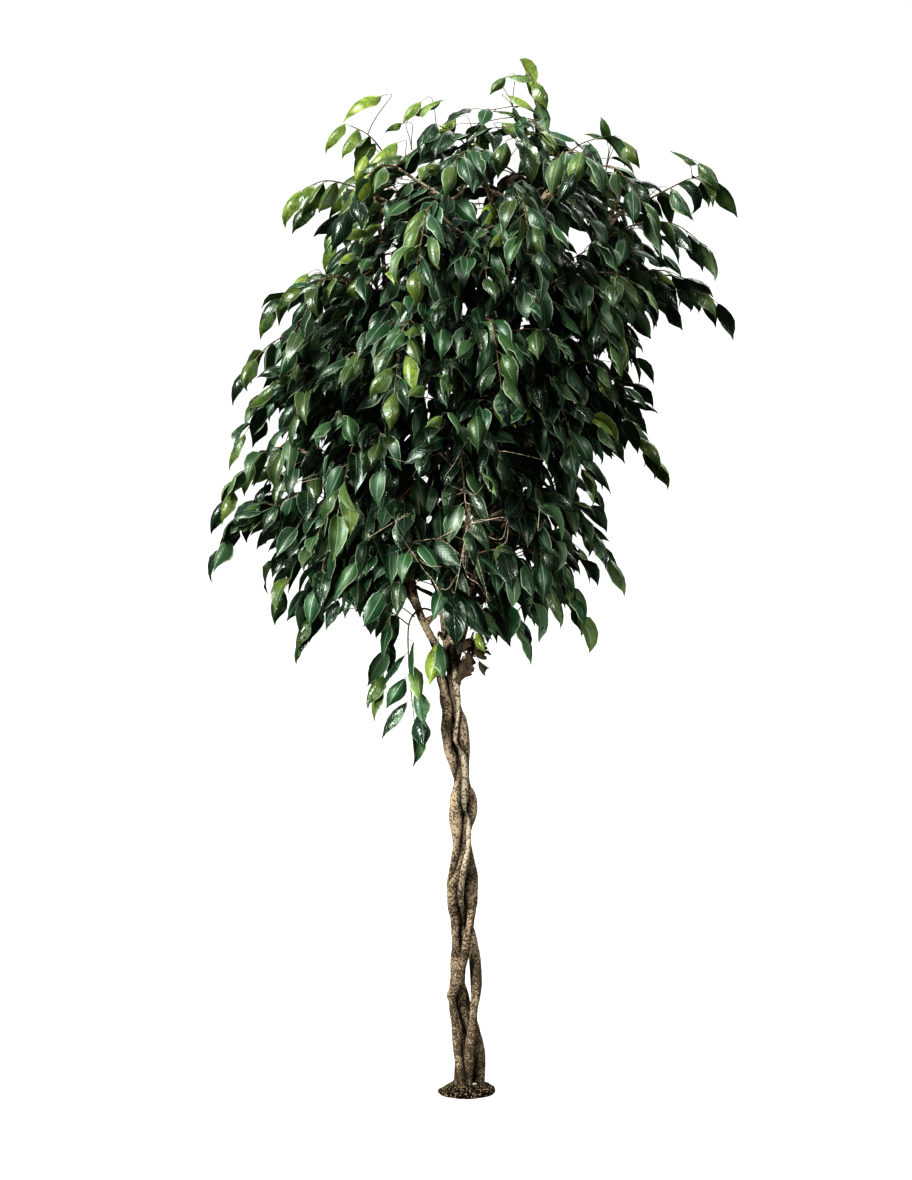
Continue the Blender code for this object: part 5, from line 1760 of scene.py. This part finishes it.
def lay_floor(scene, stage):
    """A wide floor with an even pale glow of its own, which casts no light up into the crown."""
    work = bmesh.new()
    bmesh.ops.create_circle(work, cap_ends=True, segments=64, radius=FLOOR_RADIUS)
    mesh = mesh_of(work, "floor")
    floor = bpy.data.objects.new("floor", mesh)
    floor.location.z = -FLOOR_GAP
    made, tree, shader = new_material("pale_matt_floor")
    set_inputs(tree, shader, {
        "Base Color": (0.1, 0.1, 0.1, 1),
        "Emission Color": stage.floor,
        "Emission Strength": 1.0,
        "Roughness": 0.9,
    })
    mesh.materials.append(made)
    scene.collection.objects.link(floor)
    floor.visible_diffuse = False
    floor.visible_glossy = False


def light_world(scene, stage):
    """White air behind the plant, which lights it softly from above and a little from all round."""
    world = bpy.data.worlds.new("studio")
    world.use_nodes = True
    tree = world.node_tree
    seen = add_node(tree, "LightPath", output="Is Camera Ray")
    way = add_node(tree, "TexCoord", output="Generated")
    height = add_node(tree, "SeparateXYZ", (way,), 2)
    high = add_node(tree, "MapRange", (height, -0.1, 0.9), interpolation_type="SMOOTHSTEP")
    dome = add_node(tree, "Math", (high, stage.dome, stage.fill), operation="MULTIPLY_ADD")
    strength = add_node(tree, "Math", (seen, dome), operation="MAXIMUM")
    set_inputs(tree, tree.nodes["Background"], {"Strength": strength, "Color": (1, 1, 1, 1)})
    scene.world = world


def hang_lamp(scene, light, place, from_way):
    """A lamp of a light at a place, which shines from a way."""
    lamp = bpy.data.objects.new(light.name, light)
    lamp.location = place
    lamp.rotation_euler = from_way.to_track_quat("Z", "Y").to_euler()
    scene.collection.objects.link(lamp)


class FIG_OT_stage(Operator):
    """Makes the floor, the lights and the camera"""

    bl_idname = "fig.stage"
    bl_label = "Stage"

    def execute(self, context):
        scene = context.scene
        stage = scene.fig_stage
        place_camera(scene, stage)
        lay_floor(scene, stage)
        light_world(scene, stage)
        scene.view_settings.view_transform = "Standard"
        scene.view_settings.look = "Medium High Contrast"
        for name, (tilt, swing, share, wide) in SUNS.items():
            light = bpy.data.lights.new(name, "SUN")
            light.angle = math.radians(wide)
            light.energy = stage.key * share
            tilt, swing = math.radians(tilt), math.radians(swing)
            level = Vector((math.sin(swing), -math.cos(swing), 0))
            hang_lamp(scene, light, (0, 0, 0), level * math.cos(tilt) + UP * math.sin(tilt))
        light = bpy.data.lights.new("under_crown", "SPOT")
        light.energy = stage.under
        light.spot_size = math.radians(LAMP_BEAM)
        light.spot_blend = 1.0
        light.shadow_soft_size = LAMP_RADIUS
        hang_lamp(scene, light, LAMP_PLACE, Vector(LAMP_PLACE) - Vector(LAMP_AIM))
        return {"FINISHED"}


GROWN = {}


def plant():
    """The stems' middle lines and the sprays on them, grown once."""
    if not GROWN:
        paths = stem_paths()
        sprays = grow_limbs(paths)
        for number, lean in LEANS_MM.items():
            twig = sprays[number]["twig"]
            for index, place in enumerate(twig):
                share = index / (len(twig) - 1)
                place.x += lean * MM * (share + math.sin(math.pi * share))
        grow_side_twigs(sprays, bpy.context.scene.fig_crown)
        GROWN.update(paths=paths, sprays=sprays)
    return GROWN


class FIG_PT_panel(Panel):
    """Lists the fig's pieces"""

    bl_idname = "FIG_PT_panel"
    bl_label = "Weeping Fig"
    bl_space_type = "VIEW_3D"
    bl_region_type = "UI"
    bl_category = "Fig"

    def draw(self, context):
        for operator in OPERATORS:
            self.layout.operator(operator.bl_idname)


GROUPS = {"fig_stems": FigStems, "fig_crown": FigCrown, "fig_leaves": FigLeaves, "fig_soil": FigSoil,
          "fig_stage": FigStage}
OPERATORS = [FIG_OT_stage, FIG_OT_stems, FIG_OT_twigs, FIG_OT_leaves, FIG_OT_edge_growth,
             FIG_OT_low_growth, FIG_OT_soil]


def register():
    """Adds the classes, and the settings to the scene."""
    for made in [*GROUPS.values(), *OPERATORS, FIG_PT_panel]:
        bpy.utils.register_class(made)
    for name, group in GROUPS.items():
        setattr(bpy.types.Scene, name, PointerProperty(type=group))


def unregister():
    """Takes the settings and the classes away again."""
    for name in GROUPS:
        delattr(bpy.types.Scene, name)
    for made in [FIG_PT_panel, *OPERATORS, *GROUPS.values()]:
        bpy.utils.unregister_class(made)


def main():
    """Makes the stage and the whole plant."""
    register()
    bpy.ops.fig.stage()
    bpy.ops.fig.stems()
    bpy.ops.fig.twigs()
    bpy.ops.fig.leaves()
    bpy.ops.fig.edge_growth()
    bpy.ops.fig.low_growth()
    bpy.ops.fig.soil()


if __name__ == "__main__":
    main()
